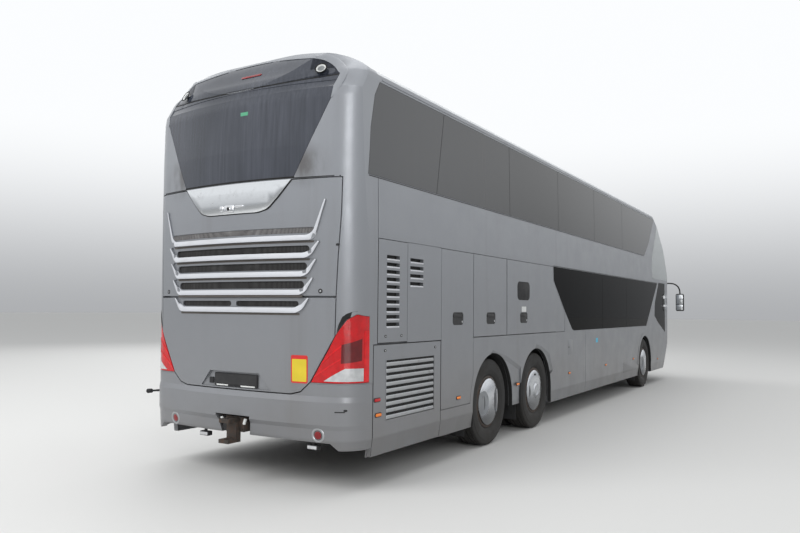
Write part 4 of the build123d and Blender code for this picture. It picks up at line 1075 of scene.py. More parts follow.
# Swept bars of the grille: height, half length, reach and rise of the thin ends
GRILLE_BARS = [
    (2.219, 0.900, 0.110, 0.330),
    (2.062, 0.860, 0.090, 0.120),
    (1.898, 0.830, 0.090, 0.125),
    (1.736, 0.800, 0.090, 0.125),
    (1.578, 0.765, 0.085, 0.105),
]
BAR_HEIGHT = 0.046
# Slots behind the bars: place across, height, length and height of the slot, and the height
# where the skin beside it is whole
GRILLE_SLOTS = [
    (0, 2.118, 1.690, 0.066, 2.170),
    (0, 1.967, 1.640, 0.066, 2.015),
    (0, 1.804, 1.580, 0.066, 1.852),
    (-0.383, 1.635, 0.706, 0.050, 1.668),
    (0.383, 1.635, 0.706, 0.050, 1.668),
]


class GrilleBars(bpy.types.Operator):
    """Wedge faces of the swept bars painted pale as a painted highlight, painted shadow under each
    bar, and the dark mesh behind the slots
    """

    bl_idname = "coach.grille_bars"
    bl_label = "Grille bars"

    def execute(self, context):
        proud = context.scene.coach_sizes.bar_wedge
        for n, (level, half, reach, rise) in enumerate(GRILLE_BARS):
            lid = "engine_lid_upper" if n < 4 else "engine_lid_lower"
            bm = bmesh.new()

            def wedge(u, v, level=level):
                share = (level + BAR_HEIGHT / 2 - v) / BAR_HEIGHT
                return proud * min(1.0, max(0.15, share))

            half_bar = [
                (-half, level - BAR_HEIGHT / 2), (-half - reach, level + rise),
                (-half - reach + 0.010, level + rise + 0.005),
                (-half + 0.018, level + BAR_HEIGHT / 2),
            ]
            knees = [0, 3, 4, 7]
            add_slab(
                bm, mirrored(half_bar), "rear", (lid,), out=0.002, depth=0.006, corner=0.062,
                rounded=knees, bends=8, edge=0.0012, step=0.07, lift=wedge,
            )
            # Bars in the pale bar silver: painted highlight
            link_mesh(bm, f"grille_bar_{n + 1}", "bar_paint", lid, smooth=50)
            # Dark strip under the bar: painted shadow of its overhang
            bm = bmesh.new()
            reach_in = half - 0.012
            add_slab(
                bm, rectangle(-reach_in, reach_in, level - 0.044, level - 0.0235), "rear", (lid,),
                out=0.0012, depth=0.003, corner=0.008, step=0.07, level=level - 0.03,
            )
            link_mesh(bm, f"bar_foot_{n + 1}", "bar_foot", lid)
        bm = bmesh.new()
        add_slab(
            bm, rectangle(-0.895, 0.895, 2.261, 2.309), "rear", ("engine_lid_upper",), out=0.0012,
            depth=0.003, corner=0.02, step=0.07,
        )
        link_mesh(bm, "blind_slot", "slot_grey", "engine_lid_upper")
        for lid, slots in (
            ("engine_lid_upper", GRILLE_SLOTS[:3]), ("engine_lid_lower", GRILLE_SLOTS[3:])
        ):
            bm = bmesh.new()
            for y, z, length, height, whole in slots:
                outline = rectangle(
                    y - length / 2, y + length / 2, z - height / 2 - 0.002, z + height / 2 + 0.002
                )
                add_slab(
                    bm, outline, "rear", (lid,), out=-0.016, depth=0.004, corner=0.03, step=0.1,
                    level=whole,
                )
            link_mesh(bm, lid + "_mesh", "mesh", lid)
        return {"FINISHED"}


class LowerLid(bpy.types.Operator):
    """Bare plate holder, blank notice, locks and catch of the rear lids"""

    bl_idname = "coach.lower_lid"
    bl_label = "Rear lid fittings"

    def execute(self, context):
        lid = ("engine_lid_lower",)
        flat = 0.93
        bm = bmesh.new()
        add_slab(
            bm, rectangle(-0.279, 0.262, 0.862, 0.984), "rear", lid, out=0.014, depth=0.012,
            corner=0.008, edge=0.003, step=0.1, level=flat,
        )
        add_slab(
            bm, rectangle(-0.268, 0.251, 0.884, 0.977), "rear", lid, out=0.0155, depth=0.003,
            corner=0.004, step=0.1, slot=1, level=flat,
        )
        for y0, y1 in ((-0.250, -0.075), (0.085, 0.235)):
            add_slab(
                bm, rectangle(y0, y1, 0.866, 0.878), "rear", lid, out=0.0155, depth=0.003,
                corner=0.002, step=0.1, slot=2, level=flat,
            )
        add_slab(
            bm, rectangle(0.279, 0.334, 0.880, 0.936), "rear", lid, out=0.012, depth=0.010,
            corner=0.006, edge=0.003, level=flat,
        )
        link_mesh(bm, "plate_holder", ("black", "plate_back", "pale_plastic"), "engine_lid_lower")

        bm = bmesh.new()
        add_slab(
            bm, rectangle(-0.835, -0.664, 0.940, 1.184), "rear", lid, out=0.0012, depth=0.002,
            corner=0.016, step=0.05,
        )
        add_slab(
            bm, rectangle(-0.823, -0.676, 0.954, 1.150), "rear", lid, out=0.0022, depth=0.002,
            corner=0.008, step=0.05, slot=1,
        )
        link_mesh(bm, "blank_notice", ("notice_red", "notice_yellow"), "engine_lid_lower")

        bm = bmesh.new()
        for y, z in ((-0.957, 1.748), (0.980, 1.748)):
            spot, normal = skin_point(("engine_lid_upper",), "rear", y, z)
            add_turned(bm, ring(0.009, 0.021, 0.004), spot, normal, 24)
            add_turned(bm, disc(0.010, 0.002), spot, normal, 20, slot=1)
        spot, normal = skin_point(("engine_lid_upper",), "rear", -1.112, 2.152)
        add_box(
            bm, spot + Vector((-0.006, -0.020, -0.010)), spot + Vector((0.006, 0.030, 0.010)), 0.004
        )
        link_mesh(bm, "lid_locks", ("black", "steel"), "engine_lid_upper")
        return {"FINISHED"}


class BumperFittings(bpy.types.Operator):
    """Round reflectors, low lamps, towing gear and side stalk of the rear bumper"""

    bl_idname = "coach.bumper_fittings"
    bl_label = "Rear bumper fittings"

    def execute(self, context):
        bumper = ("rear_bumper",)
        bm = bmesh.new()
        for y in (-0.932, 0.850):
            spot, normal = skin_point(bumper, "rear", y, 0.498)
            add_turned(bm, ring(0.044, 0.066, 0.009), spot, normal, 40)
            add_turned(bm, ring(0.036, 0.045, 0.005), spot, normal, 32, slot=2)
            add_turned(bm, disc(0.037, 0.004), spot, normal, 32, slot=1)
        link_mesh(bm, "round_reflectors", ("slat", "strip_red", "black"), "coach")

        bm = bmesh.new()
        for y in (0.423, -0.871):
            x = -skin_at(bumper, "rear", y, 0.46) + 0.03
            add_box(bm, (x - 0.030, y - 0.058, 0.368), (x + 0.030, y + 0.058, 0.410), 0.008, 3)
            add_box(
                bm, (x - 0.034, y - 0.050, 0.375), (x - 0.026, y + 0.050, 0.403), 0.003, 2, slot=1
            )
            add_box(bm, (x - 0.010, y - 0.012, 0.405), (x + 0.010, y + 0.012, 0.445), 0.002)
        link_mesh(bm, "low_lamps", ("black", "white_lens"), "coach")

        bm = bmesh.new()
        add_slab(
            bm, rectangle(-1.176, -1.098, 0.703, 0.713), "rear", bumper, out=0.0015, depth=0.003,
            corner=0.005, step=0.02,
        )
        add_slab(
            bm, rectangle(-1.192, -1.166, 0.712, 0.732), "rear", bumper, out=0.0015, depth=0.003,
            corner=0.009, step=0.01,
        )
        link_mesh(bm, "tow_eye_slot", "black", "coach")

        bm = bmesh.new()
        start, end = Vector((along(0.33), 1.270, 0.725)), Vector((along(0.30), 1.400, 0.712))
        run = end - start
        reach = run.length
        stem = [(0, 0), (0, 0.022), (0.012, 0.020), (0.020, 0.012), (reach - 0.02, 0.010)]
        stem += [(reach, 0.010), (reach, 0)]
        head = [(0, 0), (0, 0.016), (0.008, 0.022), (0.055, 0.024), (0.064, 0.018), (0.064, 0)]
        add_turned(bm, stem, start, run, 20)
        add_turned(bm, head, end - run.normalized() * 0.005, run, 24)
        link_mesh(bm, "side_stalk_lamp", "rubber", "coach")

        bm = bmesh.new()
        x = along(0.118)
        for side in (-1, 1):
            add_box(
                bm, (x, side * 0.118 - 0.004, 0.455), (x + 0.16, side * 0.118 + 0.004, 0.600), 0.002
            )
            spot = Vector((along(0.085), side * 0.150, 0.578))
            add_turned(bm, peg(0.014, 0.050), spot, (0, -side * 0.35, -1), 16, slot=1)
        add_box(bm, (along(0.104), -0.118, 0.452), (along(0.130), 0.118, 0.592), 0.006)
        add_turned(
            bm, [(0, 0), (0, 0.050), (0.024, 0.050), (0.030, 0.044), (0.030, 0)],
            (along(0.106), 0.075, 0.500), (-1, 0, 0), 32, slot=2,
        )
        for y, z in ((-0.095, 0.475), (-0.095, 0.570), (0.020, 0.570), (0.020, 0.475)):
            add_turned(bm, peg(0.011, 0.010), (along(0.106), y, z), (-1, 0, 0), 6)
        link_mesh(bm, "towing_gear", ("rust", "pale_plastic", "black"), "coach")
        return {"FINISHED"}


# Painted shade of the recess along a corner lamp's upper edge, between the lamp's edge and the
# shell: place across, height
LAMP_EDGE_SHADE = (
    [
        (1.108, 1.384), (1.145, 1.443), (1.180, 1.499), (1.205, 1.520), (1.230, 1.540),
        (1.242, 1.547),
    ],
    [
        (1.1105, 1.400), (1.123, 1.455), (1.152, 1.526), (1.182, 1.553), (1.212, 1.568),
        (1.243, 1.574),
    ],
)


class TailLamps(bpy.types.Operator):
    """Clear lower segment, dark facets and ridges of the red corner lamps, and painted shade along
    their edges
    """

    bl_idname = "coach.tail_lamps"
    bl_label = "Tail lamps"

    def execute(self, context):
        for side, hand in SIDES:
            def flip(x, y, z):
                return Vector((along(x), side * -y, z))

            clear = [
                (flip(0, -1.005, 0.976), (0, side * -0.527, 0.85)),
                (flip(0, 0, 1.080), (0, 0, 1)),
                (flip(0, 0, 0.968), (0, 0, -1)),
                (flip(0.356, 0, 0), (1, 0, 0)),
            ]
            dark = [
                (flip(0.190, 0, 0), (-1, 0, 0)),
                (flip(0.338, 0, 0), (1, 0, 0)),
                (flip(0, 0, 1.092), (0.16, 0, -1)),
                (flip(0.190, 0, 1.285), (-0.36, 0, 1)),
            ]
            edge = [
                (flip(0.362, 0, 0), (-1, 0, 0)), (flip(0, 0, 0.962), (0, 0, -1)),
                (flip(0, 0, 1.405), (0, 0, 1)),
            ]
            for name, cuts, material, lift in (
                ("clear_lens", clear, "white_lens", 0.003),
                ("dark_facets", dark, "dark_red", 0.002),
                ("edge_lens", edge, "edge_red", 0.002),
            ):
                skin_patch(f"{name}_{hand}", "tail_lights", cuts, side, lift, material)
            ridges = [
                (flip(0, -0.983, 1.127), flip(0, -1.172, 1.290)),
                (flip(0, -0.960, 1.035), flip(0, -1.172, 1.175)),
            ]
            for n, (low, high) in enumerate(ridges):
                run = high - low
                away = Vector((0, -run.z, run.y)).normalized() * -side
                cuts = [
                    (low, away), (low - away * 0.012, -away), (flip(0.190, 0, 0), (1, 0, 0)),
                    (flip(0.092, 0, 0), (-1, 0, 0)),
                ]
                skin_patch(
                    f"lens_ridge_{n + 1}_{hand}", "tail_lights", cuts, side, 0.0035, "edge_red"
                )
            bm = bmesh.new()
            # Dark band in the seam finish along the lamp's edge: painted shade of the recess
            rows = [[(side * y, z) for y, z in row] for row in LAMP_EDGE_SHADE]
            add_band(bm, rows, "rear", ("rear_shell", "tail_lights"), 0.004, 0.006, edge=0.001)
            link_mesh(bm, f"lamp_edge_shade_{hand}", "seam", "coach")
        return {"FINISHED"}


# Opening of the radiator door's louvres: rear and front place, foot, top
LOUVRES = (0.710, 1.610, 0.590, 1.130)
# How far the mesh of the side grilles stands in
MESH_IN = -0.0395
# Slot grilles of the right side: rear and front place, foot, top, number of slots, body
SIDE_GRILLES = [
    (0.700, 0.926, 1.433, 2.096, 10, "engine_panel_right"),
    (1.120, 1.376, 1.822, 2.093, 4, "coach"),
]
SLOT_HEIGHT = 0.040


class SideGrilles(bpy.types.Operator):
    """Louvre slats with painted shade in their gaps, slot sills painted pale as a painted
    highlight, and the dark mesh behind them
    """

    bl_idname = "coach.side_grilles"
    bl_label = "Side grilles"

    def execute(self, context):
        count = context.scene.coach_sizes.louvre_count
        x0, x1, foot, top = LOUVRES
        pitch = (top - foot) / count
        levels = [foot + 0.004 + pitch * n for n in range(count)]
        bm = bmesh.new()
        for z in levels:
            side_box(
                bm, -1, x0 + 0.002, x1 - 0.012, z, z + 0.036, out=0.004, depth=0.020, edge=0.009,
                segments=4,
            )
        link_mesh(bm, "louvre_slats", "slat", "radiator_door_right", smooth=60)
        bm = bmesh.new()
        for z in levels:
            side_box(
                bm, -1, x0 + 0.001, x1 - 0.001, z + 0.034, z + pitch - 0.001, out=-0.004,
                depth=0.020,
            )
        link_mesh(bm, "louvre_shade", "shade", "radiator_door_right")
        bm = bmesh.new()
        side_box(
            bm, -1, x0 - 0.006, x1 + 0.006, foot - 0.006, top + 0.006, out=MESH_IN, depth=0.003
        )
        link_mesh(bm, "louvre_mesh", "mesh", "radiator_door_right")
        bm = bmesh.new()
        wide = 0.012
        for a0, a1, z0, z1 in (
            (x0 - wide, x0, foot - wide, top + wide), (x1, x1 + wide, foot - wide, top + wide),
            (x0, x1, foot - wide, foot), (x0, x1, top, top + wide),
        ):
            side_box(bm, -1, a0, a1, z0, z1, out=0.0015, depth=0.003)
        link_mesh(bm, "louvre_frame", "paint", "radiator_door_right")
        for n, (x0, x1, foot, top, slots, body) in enumerate(SIDE_GRILLES):
            step = (top - foot - SLOT_HEIGHT) / (slots - 1)
            sills, backs = bmesh.new(), bmesh.new()
            for i in range(slots):
                z = foot + step * i
                side_box(
                    sills, -1, x0 + 0.004, x1 - 0.004, z - 0.010, z + 0.006, out=0.005, depth=0.022,
                    edge=0.004, segments=3,
                )
            side_box(
                backs, -1, x0 - 0.006, x1 + 0.006, foot - 0.006, top + 0.006, out=MESH_IN,
                depth=0.003,
            )
            # Sills in the pale bar silver: painted highlight
            link_mesh(sills, f"slot_sills_{n + 1}", "bar_paint", body)
            link_mesh(backs, f"slot_mesh_{n + 1}", "mesh", body)
        return {"FINISHED"}


# Handles in their sunken places: panel, side, place along, height
HANDLES = [
    ("service_door_right", -1, 2.145, 1.500),
    ("luggage_flap_right_rear", -1, 3.010, 1.500),
    ("luggage_flap_right_front", -1, 4.050, 1.500),
    ("luggage_flap_left_rear", 1, 3.010, 1.500),
    ("luggage_flap_left_front", 1, 4.050, 1.500),
]
# Small key locks: body, side, place along, height
LOCKS = [
    ("engine_panel_right", -1, 0.690, 1.349),
    ("engine_panel_right", -1, 0.968, 1.349),
    ("radiator_door_right", -1, 0.685, 1.219),
    ("radiator_door_right", -1, 1.633, 1.214),
    ("engine_door_left", 1, 0.690, 1.349),
    ("engine_door_left", 1, 1.600, 1.349),
]
# Side marker lamps: place along, height, colour, body on the right and on the left side
MARKERS = [
    (0.560, 0.786, "red", "radiator_door_right", "coach"),
    (0.580, 0.652, "amber", "radiator_door_right", None),
    (2.162, 0.647, "amber", "service_door_right", "coach"),
    (3.839, 0.654, "amber", "coach", "coach"),
    (5.900, 0.650, "amber", "coach", "coach"),
    (7.900, 0.650, "amber", "coach", "coach"),
    (9.900, 0.650, "amber", "coach", "coach"),
    (12.130, 0.530, "amber", "coach", "coach"),
]
# Cover in the skirt behind the front wheel: rear and front place
SKIRT_COVER = (9.090, 10.230)


class SideFittings(bpy.types.Operator):
    """Handles, locks, porthole, marker lamps and covers along both sides"""

    bl_idname = "coach.side_fittings"
    bl_label = "Side fittings"

    def execute(self, context):
        for n, (body, side, x, z) in enumerate(HANDLES):
            bm = bmesh.new()
            side_plate(bm, side, x, z, 0.251, 0.136, 0.038, out=-0.0035, depth=0.004)
            side_plate(
                bm, side, x - 0.012, z + 0.030, 0.200, 0.036, 0.016, out=0.003, depth=0.0075,
                edge=0.003,
            )
            side_plate(
                bm, side, x + 0.100, z - 0.034, 0.026, 0.026, 0.012, out=0.0005, depth=0.004, slot=1
            )
            link_mesh(bm, f"flap_handle_{n + 1}", ("black", "steel"), body)
        for n, (body, side, x, z) in enumerate(LOCKS):
            bm = bmesh.new()
            side_plate(bm, side, x, z, 0.034, 0.024, 0.011, out=0.0025, depth=0.004)
            side_plate(bm, side, x, z, 0.014, 0.014, 0.006, out=0.0035, depth=0.004, slot=1)
            link_mesh(bm, f"panel_lock_{n + 1}", ("black", "steel"), body)

        bm = bmesh.new()
        side_plate(
            bm, -1, 4.043, 1.851, 0.420, 0.240, 0.068, out=0.004, depth=0.011, edge=0.004,
            hole=0.024,
        )
        side_plate(bm, -1, 4.043, 1.851, 0.380, 0.200, 0.052, out=-0.002, depth=0.005, slot=1)
        link_mesh(bm, "porthole", ("rubber", "pane"), "luggage_flap_right_front")
        bm = bmesh.new()
        side_plate(bm, -1, 4.054, 1.6115, 0.150, 0.069, 0.004, out=0.001, depth=0.002)
        link_mesh(bm, "blank_flap_label", "pale_plastic", "luggage_flap_right_front")
        bm = bmesh.new()
        side_plate(bm, -1, 7.370, 1.100, 0.110, 0.075, 0.006, out=0.001, depth=0.002)
        link_mesh(bm, "blank_wall_label", "label_blue", "coach")

        for side, hand in SIDES:
            for n, (x, z, colour, *bodies) in enumerate(MARKERS):
                body = bodies[side > 0]
                if body is None:
                    continue
                bm = bmesh.new()
                side_plate(bm, side, x, z, 0.108, 0.040, 0.018, out=0.005, depth=0.006, edge=0.002)
                side_plate(
                    bm, side, x, z, 0.092, 0.027, 0.012, out=0.0095, depth=0.006, edge=0.003, slot=1
                )
                link_mesh(bm, f"side_marker_{hand}_{n + 1}", ("black", colour), body)
            bm = bmesh.new()
            side_plate(
                bm, side, 5.955, 1.041, 0.230, 0.230, 0.030, out=0.0015, depth=0.003, edge=0.001
            )
            side_plate(bm, side, 5.880, 1.041, 0.026, 0.026, 0.012, out=0.004, depth=0.004, slot=1)
            link_mesh(bm, f"filler_cover_{hand}", ("paint", "black"), "coach")
            bm = bmesh.new()
            x0, x1 = SKIRT_COVER
            side_plate(
                bm, side, (x0 + x1) / 2, 0.520, x1 - x0, 0.200, 0.012, out=0.0012, depth=0.003,
                edge=0.001,
            )
            link_mesh(bm, f"skirt_cover_{hand}", "paint", "coach")
        return {"FINISHED"}


# Dark edges of the side panels: body, side, rear and front place, foot, top, edges that show one
PANEL_SEAMS = [
    ("radiator_door_right", -1, 0.494, 1.752, 0.300, 1.276, ("rear", "front", "top")),
    ("engine_panel_right", -1, 0.556, 1.069, 1.288, 2.234, ("rear", "foot")),
    ("luggage_flap_right_rear", -1, 2.536, 3.484, 1.288, 2.234, ("foot", "front")),
    ("luggage_flap_right_front", -1, 3.496, 5.300, 1.288, 2.234, ("foot",)),
    ("engine_door_left", 1, 0.556, 1.752, 1.288, 2.234, ("rear", "foot", "top")),
    ("luggage_flap_left_rear", 1, 2.536, 3.484, 1.288, 2.234, ("foot", "top")),
    ("luggage_flap_left_front", 1, 3.496, 5.300, 1.288, 2.234, ("foot",)),
]
SEAM_WIDTH = 0.0045


class SideLines(bpy.types.Operator):
    """Roof gutters, window rails and dark panel edges along the sides"""

    bl_idname = "coach.side_lines"
    bl_label = "Side lines"

    def execute(self, context):
        for side, hand in SIDES:
            wall = (f"{hand}_side_wall", "roof", "side_glass")
            bm = bmesh.new()
            add_slab(
                bm, rectangle(along(0.62), along(11.9), 3.700, 3.714), hand, wall, out=0.006,
                depth=0.010, edge=0.003, step=0.8,
            )
            link_mesh(bm, f"gutter_{hand}", "paint", "coach")
            bm = bmesh.new()
            add_slab(
                bm, rectangle(along(0.40), along(10.94), 2.783, 2.790), hand, wall, out=0.0035,
                depth=0.006, edge=0.001, step=0.8,
            )
            link_mesh(bm, f"window_rail_{hand}", "black", "coach")
        bm = bmesh.new()
        z = 2.2445
        add_slab(
            bm, rectangle(along(5.20), along(12.18), z, z + 0.008), "right", ("right_side_wall",),
            out=0.0035, depth=0.006, edge=0.001, step=0.8,
        )
        link_mesh(bm, "lower_window_rail", "black", "coach")
        for body, side, x0, x1, z0, z1, edges in PANEL_SEAMS:
            hand = "right" if side < 0 else "left"
            bm = bmesh.new()
            strips = {
                "rear": (x0, x0 + SEAM_WIDTH, z0, z1), "front": (x1 - SEAM_WIDTH, x1, z0, z1),
                "foot": (x0, x1, z0, z0 + SEAM_WIDTH), "top": (x0, x1, z1 - SEAM_WIDTH, z1),
            }
            for edge in edges:
                a0, a1, b0, b1 = strips[edge]
                add_slab(
                    bm, rectangle(along(a0), along(a1), b0, b1), hand, (body,), out=0.0006,
                    depth=0.002, step=0.15,
                )
            link_mesh(bm, body + "_seams", "seam", body)
        return {"FINISHED"}


# Wheel arches: axle, how far ahead of it the lip's middle is, reach of the liner and the mud flap
ARCHES = [
    ("tag", 0.040, 0.588, 0.590),
    ("drive", -0.045, 0.588, 0.590),
    ("front", -0.050, 0.640, 0.645),
]


class ArchLiners(bpy.types.Operator):
    """Black liners and lips of the wheel arches, and mud flaps"""

    bl_idname = "coach.arches"
    bl_label = "Arch liners"

    def execute(self, context):
        for name, shift, reach, flap in ARCHES:
            for side, hand in SIDES:
                # Piece, station, radius, outer and inner place across, foot
                rounds = (
                    ("arch_liner", AXLES[name], reach, 1.230, 0.70, HUB_Z - 0.10),
                    ("arch_lip", AXLES[name] + shift, 0.5705, 1.2738, 1.228, 0.295),
                )
                for piece, station, radius, outer, inner, foot in rounds:
                    centre = Vector((along(station), 0, HUB_Z))
                    bm = bmesh.new()
                    verts = [
                        bm.verts.new((centre.x + radius, side * y, foot)) for y in (outer, inner)
                    ]
                    bm.edges.new(verts)
                    raised = verts_of(bmesh.ops.extrude_edge_only(bm, edges=bm.edges[:]))
                    bmesh.ops.translate(bm, verts=raised, vec=(0, 0, HUB_Z - foot))
                    edge = [e for e in bm.edges if all(v in raised for v in e.verts)]
                    turned = bmesh.ops.spin(
                        bm, geom=raised + edge, cent=centre, axis=(0, -1, 0), angle=math.pi,
                        steps=40,
                    )
                    last = [g for g in turned["geom_last"] if isinstance(g, bmesh.types.BMEdge)]
                    dropped = verts_of(bmesh.ops.extrude_edge_only(bm, edges=last))
                    bmesh.ops.translate(bm, verts=dropped, vec=(0, 0, foot - HUB_Z))
                    weld(bm, WELD)
                    bmesh.ops.recalc_face_normals(bm, faces=bm.faces)
                    bmesh.ops.solidify(bm, geom=bm.faces[:], thickness=0.003)
                    link_mesh(bm, f"{piece}_{name}_{hand}", "seam", "coach", smooth=50)
                bm = bmesh.new()
                behind = along(AXLES[name] - flap)
                low, high = sorted((side * 0.84, side * 1.20))
                add_box(bm, (behind - 0.010, low, 0.180), (behind, high, 0.520), 0.003)
                link_mesh(bm, f"mud_flap_{name}_{hand}", "rubber", "coach")
        return {"FINISHED"}


# Middle line of a mirror's arm: place along, place across, height
MIRROR_ARM = [
    (13.62, 1.10, 2.290), (13.74, 1.18, 2.298), (13.90, 1.31, 2.290), (14.00, 1.395, 2.225),
    (14.050, 1.43, 2.120), (14.060, 1.43, 1.990),
]


class Mirrors(bpy.types.Operator):
    """Mirrors in rounded housings on curved arms, wipers, blank front plate and air slots"""

    bl_idname = "coach.mirrors"
    bl_label = "Mirrors and front"

    def execute(self, context):
        bm = bmesh.new()
        for side in (-1, 1):
            add_tube(bm, [(along(x), side * y, z) for x, y, z in MIRROR_ARM], 0.017, sides=16)
            add_turned(bm, [(-0.010, 0), (-0.010, 0.042), (0.014, 0.036), (0.016, 0)],
                       (along(13.640), side * 1.115, 2.290), (1, side * 0.75, 0), 28)
            low, high = sorted((side * 1.334, side * 1.526))
            add_box(bm, (along(14.006), low, 1.614), (along(14.114), high, 2.046), 0.036, 5)
            for z0, z1 in ((1.790, 2.020), (1.640, 1.775)):
                add_box(
                    bm, (along(14.0045), low + 0.020, z0), (along(14.010), high - 0.020, z1),
                    0.0022, 2, slot=1,
                )
        piece = link_mesh(bm, "mirror_heads", ("black", "mirror_glass"), "coach", smooth=40)
        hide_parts("mirrors")

        front = ("windscreens",)
        bm = bmesh.new()
        for foot_y, tip_y, foot_z, tip_z in (
            (-0.95, -0.18, 1.215, 1.300), (0.10, 0.88, 1.215, 1.300)
        ):
            line = []
            for n in range(9):
                y = foot_y + (tip_y - foot_y) * n / 8
                z = foot_z + (tip_z - foot_z) * n / 8
                line.append((skin_at(front, "front", y, z) + 0.022, y, z))
            add_tube(bm, line, 0.0075, sides=8)
            spot, normal = skin_point(front, "front", foot_y, foot_z)
            add_turned(bm, [(0, 0), (0, 0.024), (0.030, 0.018), (0.032, 0)], spot, normal, 20)
            middle = (foot_y + tip_y * 2) / 3
            blade = rectangle(middle - 0.34, middle + 0.34, tip_z + 0.008, tip_z + 0.026)
            add_slab(bm, blade, "front", front, out=0.018, depth=0.014, edge=0.003, step=0.06)
        link_mesh(bm, "wipers", "black", "coach", smooth=45)
        bm = bmesh.new()
        add_slab(
            bm, rectangle(-0.260, 0.260, 0.420, 0.532), "front", ("front_bumper",), out=0.014,
            depth=0.012, corner=0.008, edge=0.002, step=0.13,
        )
        add_slab(
            bm, rectangle(-0.250, 0.250, 0.430, 0.522), "front", ("front_bumper",), out=0.016,
            depth=0.003, corner=0.005, step=0.13, slot=1,
        )
        link_mesh(bm, "front_plate", ("black", "plate_back"), "coach")
        bm = bmesh.new()
        for n in range(3):
            z = 0.672 + 0.050 * n
            add_slab(
                bm, rectangle(-0.52, 0.52, z, z + 0.022), "front", ("front_shell",), out=0.0025,
                depth=0.005, corner=0.009, edge=0.001, step=0.08,
            )
        link_mesh(bm, "front_slots", "shade", "coach")
        return {"FINISHED"}


# Places across of the outer wheels and of the inner twin wheels
WHEEL_Y = 1.092
TWIN_Y = 0.756
# Axle, body that its wheels ride on, CAD nodes of its tyres, places of the tyres across
WHEELS = [
    ("front", "front_wheel", "front_tyre", (WHEEL_Y,)),
    ("tag", "tag_wheel", "tag_tyre", (WHEEL_Y,)),
    ("drive", "drive_wheels", "drive_tyres", (WHEEL_Y, TWIN_Y)),
]
# Half of a tyre's section from its bead to its crown: place across, radius
TYRE_HALF = [
    (-0.101, 0.2893), (-0.104, 0.300), (-0.112, 0.307), (-0.122, 0.312), (-0.127, 0.317),
    (-0.1275, 0.322), (-0.1315, 0.326), (-0.1385, 0.348), (-0.1425, 0.366), (-0.1455, 0.371),
    (-0.1452, 0.376), (-0.1470, 0.392), (-0.1478, 0.410), (-0.1475, 0.430), (-0.1460, 0.447),
    (-0.1462, 0.452), (-0.1432, 0.455), (-0.1405, 0.470), (-0.1372, 0.484), (-0.1330, 0.494),
    (-0.1250, 0.5005), (-0.1120, 0.5050), (-0.0960, 0.5068), (-0.0945, 0.4960), (-0.0865, 0.4960),
    (-0.0850, 0.5076), (-0.0480, 0.5094), (-0.0465, 0.4955), (-0.0375, 0.4955), (-0.0360, 0.5098),
    (0.0, 0.5100),
]
TYRE_INSIDE = [
    (-0.086, 0.2893), (-0.086, 0.318), (-0.126, 0.390), (-0.126, 0.428), (-0.112, 0.470),
    (-0.060, 0.486),
]
TYRE_STEPS = 96
# Pockets of a shoulder, in every other step: between which places across, and past which radius
POCKETS = (0.105, 0.120)
POCKET_RADIUS = 0.49


class Tyres(bpy.types.Operator):
    """Tyres with tread grooves, shoulder pockets and sidewall lines"""

    bl_idname = "coach.tyres"
    bl_label = "Tyres"

    def execute(self, context):
        across = [(-u, r) for u, r in reversed(TYRE_HALF[:-1])]
        inside = [(-u, r) for u, r in TYRE_INSIDE] + list(reversed(TYRE_INSIDE)) + TYRE_HALF[:1]
        for axle, body, node, places in WHEELS:
            for side, hand in SIDES:
                bm = bmesh.new()
                for y in places:
                    centre = Vector((along(AXLES[axle]), side * y, HUB_Z))
                    tyre = bmesh.new()
                    add_turned(tyre, TYRE_HALF + across + inside, centre, (0, side, 0), TYRE_STEPS)
                    pockets = []
                    for f in tyre.faces:
                        spot = f.calc_center_median() - centre
                        turn = math.atan2(spot.z, spot.x) / math.tau * TYRE_STEPS
                        shoulder = POCKETS[0] < abs(spot.y) < POCKETS[1]
                        outside = math.hypot(spot.x, spot.z) > POCKET_RADIUS
                        if shoulder and outside and int(turn + TYRE_STEPS * 2) % 2:
                            pockets.append(f)
                    bmesh.ops.inset_individual(tyre, faces=pockets, thickness=0.0028, depth=-0.006)
                    move_into(bm, tyre)
                piece = link_mesh(
                    bm, f"{axle}_tyre_tread_{hand}", "tyre", f"{body}_{hand}", smooth=40
                )
                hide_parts(f"{node}_{hand}")
        return {"FINISHED"}


# Dome of the single wheels' trims: distance outboard of the wheel's middle, radius
DOME = [
    (0.1790, 0.0), (0.1787, 0.030), (0.1776, 0.060), (0.1758, 0.090), (0.1732, 0.120),
    (0.1696, 0.150), (0.1648, 0.180), (0.1586, 0.208), (0.1515, 0.232), (0.1455, 0.252),
    (0.1415, 0.266), (0.1370, 0.272), (0.1310, 0.273), (0.1200, 0.270), (0.1120, 0.264),
    (0.1120, 0.0),
]
# Trim of the twin wheels with its raised middle ring
TWIN_TRIM = [
    (0.1620, 0.0), (0.1620, 0.052), (0.1640, 0.060), (0.1700, 0.066), (0.1712, 0.072),
    (0.1690, 0.079), (0.1600, 0.086), (0.1560, 0.098), (0.1545, 0.130), (0.1530, 0.165),
    (0.1500, 0.200), (0.1450, 0.232), (0.1405, 0.252), (0.1370, 0.264), (0.1320, 0.270),
    (0.1200, 0.270), (0.1120, 0.264), (0.1120, 0.0),
]


LENS_HALF = 0.085
# Worn edge of a rim: distance outboard of the wheel's middle, radius
RIM_EDGE = [
    (0.1165, 0.268), (0.1235, 0.272), (0.1240, 0.300), (0.1215, 0.3045), (0.1165, 0.3050),
    (0.1165, 0.268),
]


